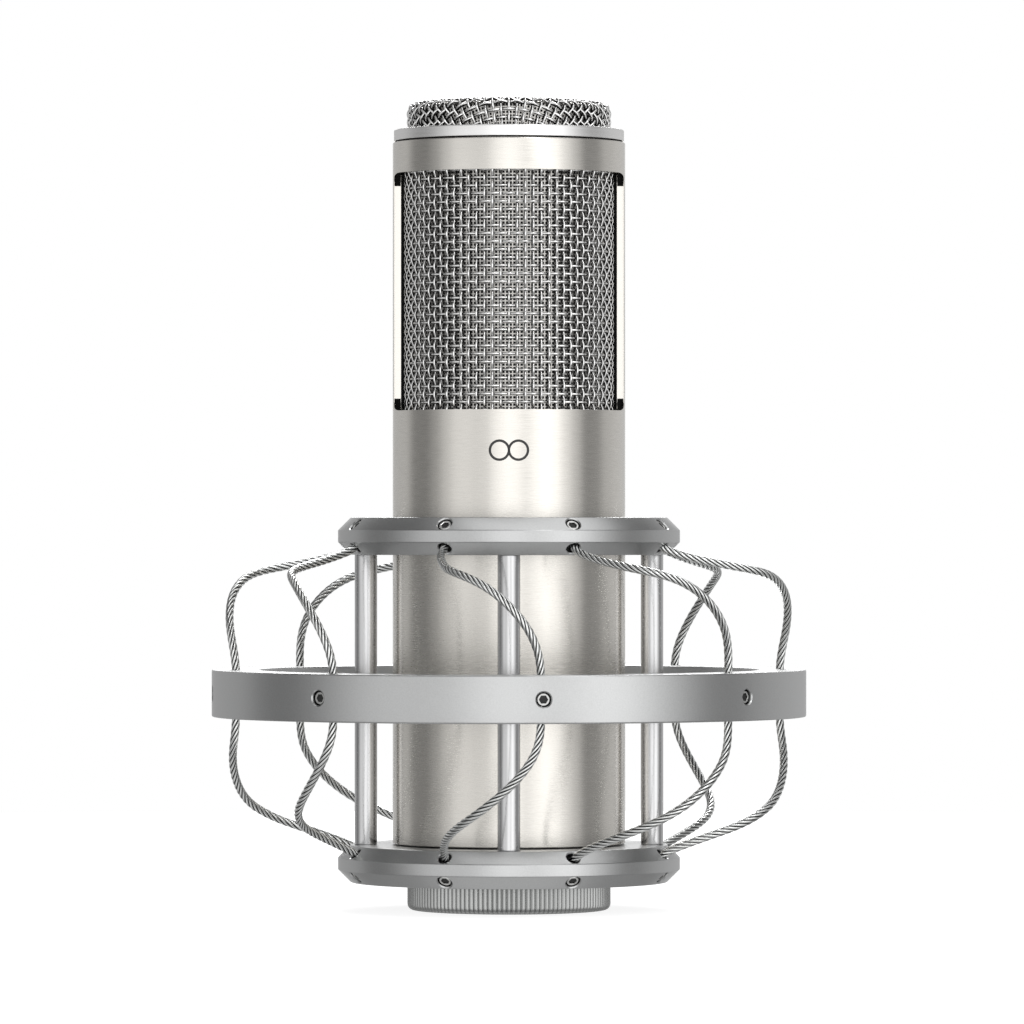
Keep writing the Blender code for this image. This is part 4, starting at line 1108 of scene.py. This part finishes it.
barrel_radius, barrel_top = 10.5 * MM, -10.0 * MM
barrel_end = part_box("stand_swivel")[0].z - tilt["pos_m"][2]
insert_radius, insert_bore, insert_length = 9.2 * MM, 7.9 * MM, 15.0 * MM
tongue_half, tongue_ear = 4.7 * MM, 6.2 * MM
barrel = turned("stand_swivel_turned", softened([
    (0.001 * MM, barrel_top, 0.0), (barrel_radius, barrel_top, 0.8 * MM),
    (barrel_radius, barrel_end, 0.4 * MM), (insert_radius + GAP, barrel_end, 0.2 * MM),
    (insert_radius + GAP, barrel_end + insert_length + GAP, 0.1 * MM),
    (0.001 * MM, barrel_end + insert_length + GAP, 0.0)]), 96)
nose = np.column_stack([tongue_ear * np.sin(turn), tongue_ear * np.cos(turn)])
outline = np.vstack([nose, [tongue_ear, barrel_top - 0.5 * MM],
                     [-tongue_ear, barrel_top - 0.5 * MM]])
swivel = machined(barrel, eased(side_plate("tongue", outline, tongue_half), 0.2 * MM), "UNION")
swivel = machined(swivel, cross_bar(pin_hole, pin_reach))
swivel.transform(pivot)
fitted(swivel, satin_aluminium, "swivel", "satin_aluminium", "stand_swivel")

insert = collar("thread_insert_sleeve", insert_radius, insert_bore + 0.5 * MM, barrel_end,
                barrel_end + insert_length, [0.2 * MM] * 4, 96)
thread = threaded("insert_thread", insert_bore, insert_bore + 0.55 * MM, barrel_end + GAP,
                  barrel_end + insert_length - GAP, 0.94 * MM, -0.45 * MM, 8, 0)
insert = merged("thread_insert_tapped", [insert, thread])
insert.transform(pivot)
fitted(insert, brass, "swivel", "brass", "thread_insert", sharp=60)

knob_radius, knob_height = 8.0 * MM, 8.0 * MM
knob_face = bracket_width / 2 + GAP
knob = knurled("tilt_screw_knob", knob_radius, knob_face, knob_face + knob_height, 0.9 * MM,
               0.9 * MM, 0.3 * MM, 30, 0.55 * MM, samples=12)
shank = turned("shank", softened([(3.0 * MM, knob_face + 1.0 * MM, 0.1 * MM),
                                  (3.0 * MM, -bracket_width / 2, 0.4 * MM),
                                  (0.001 * MM, -bracket_width / 2, 0.0),
                                  (0.001 * MM, knob_face + 1.0 * MM, 0.0)]), 40)
knob = merged("tilt_screw_knurled", [knob, shank])
knob.transform(pivot @ Matrix.Rotation(-math.pi / 2, 4, "Y"))
fitted(knob, screw_steel, "tilt_knob", "screw_steel", "tilt_screw", sharp=50)
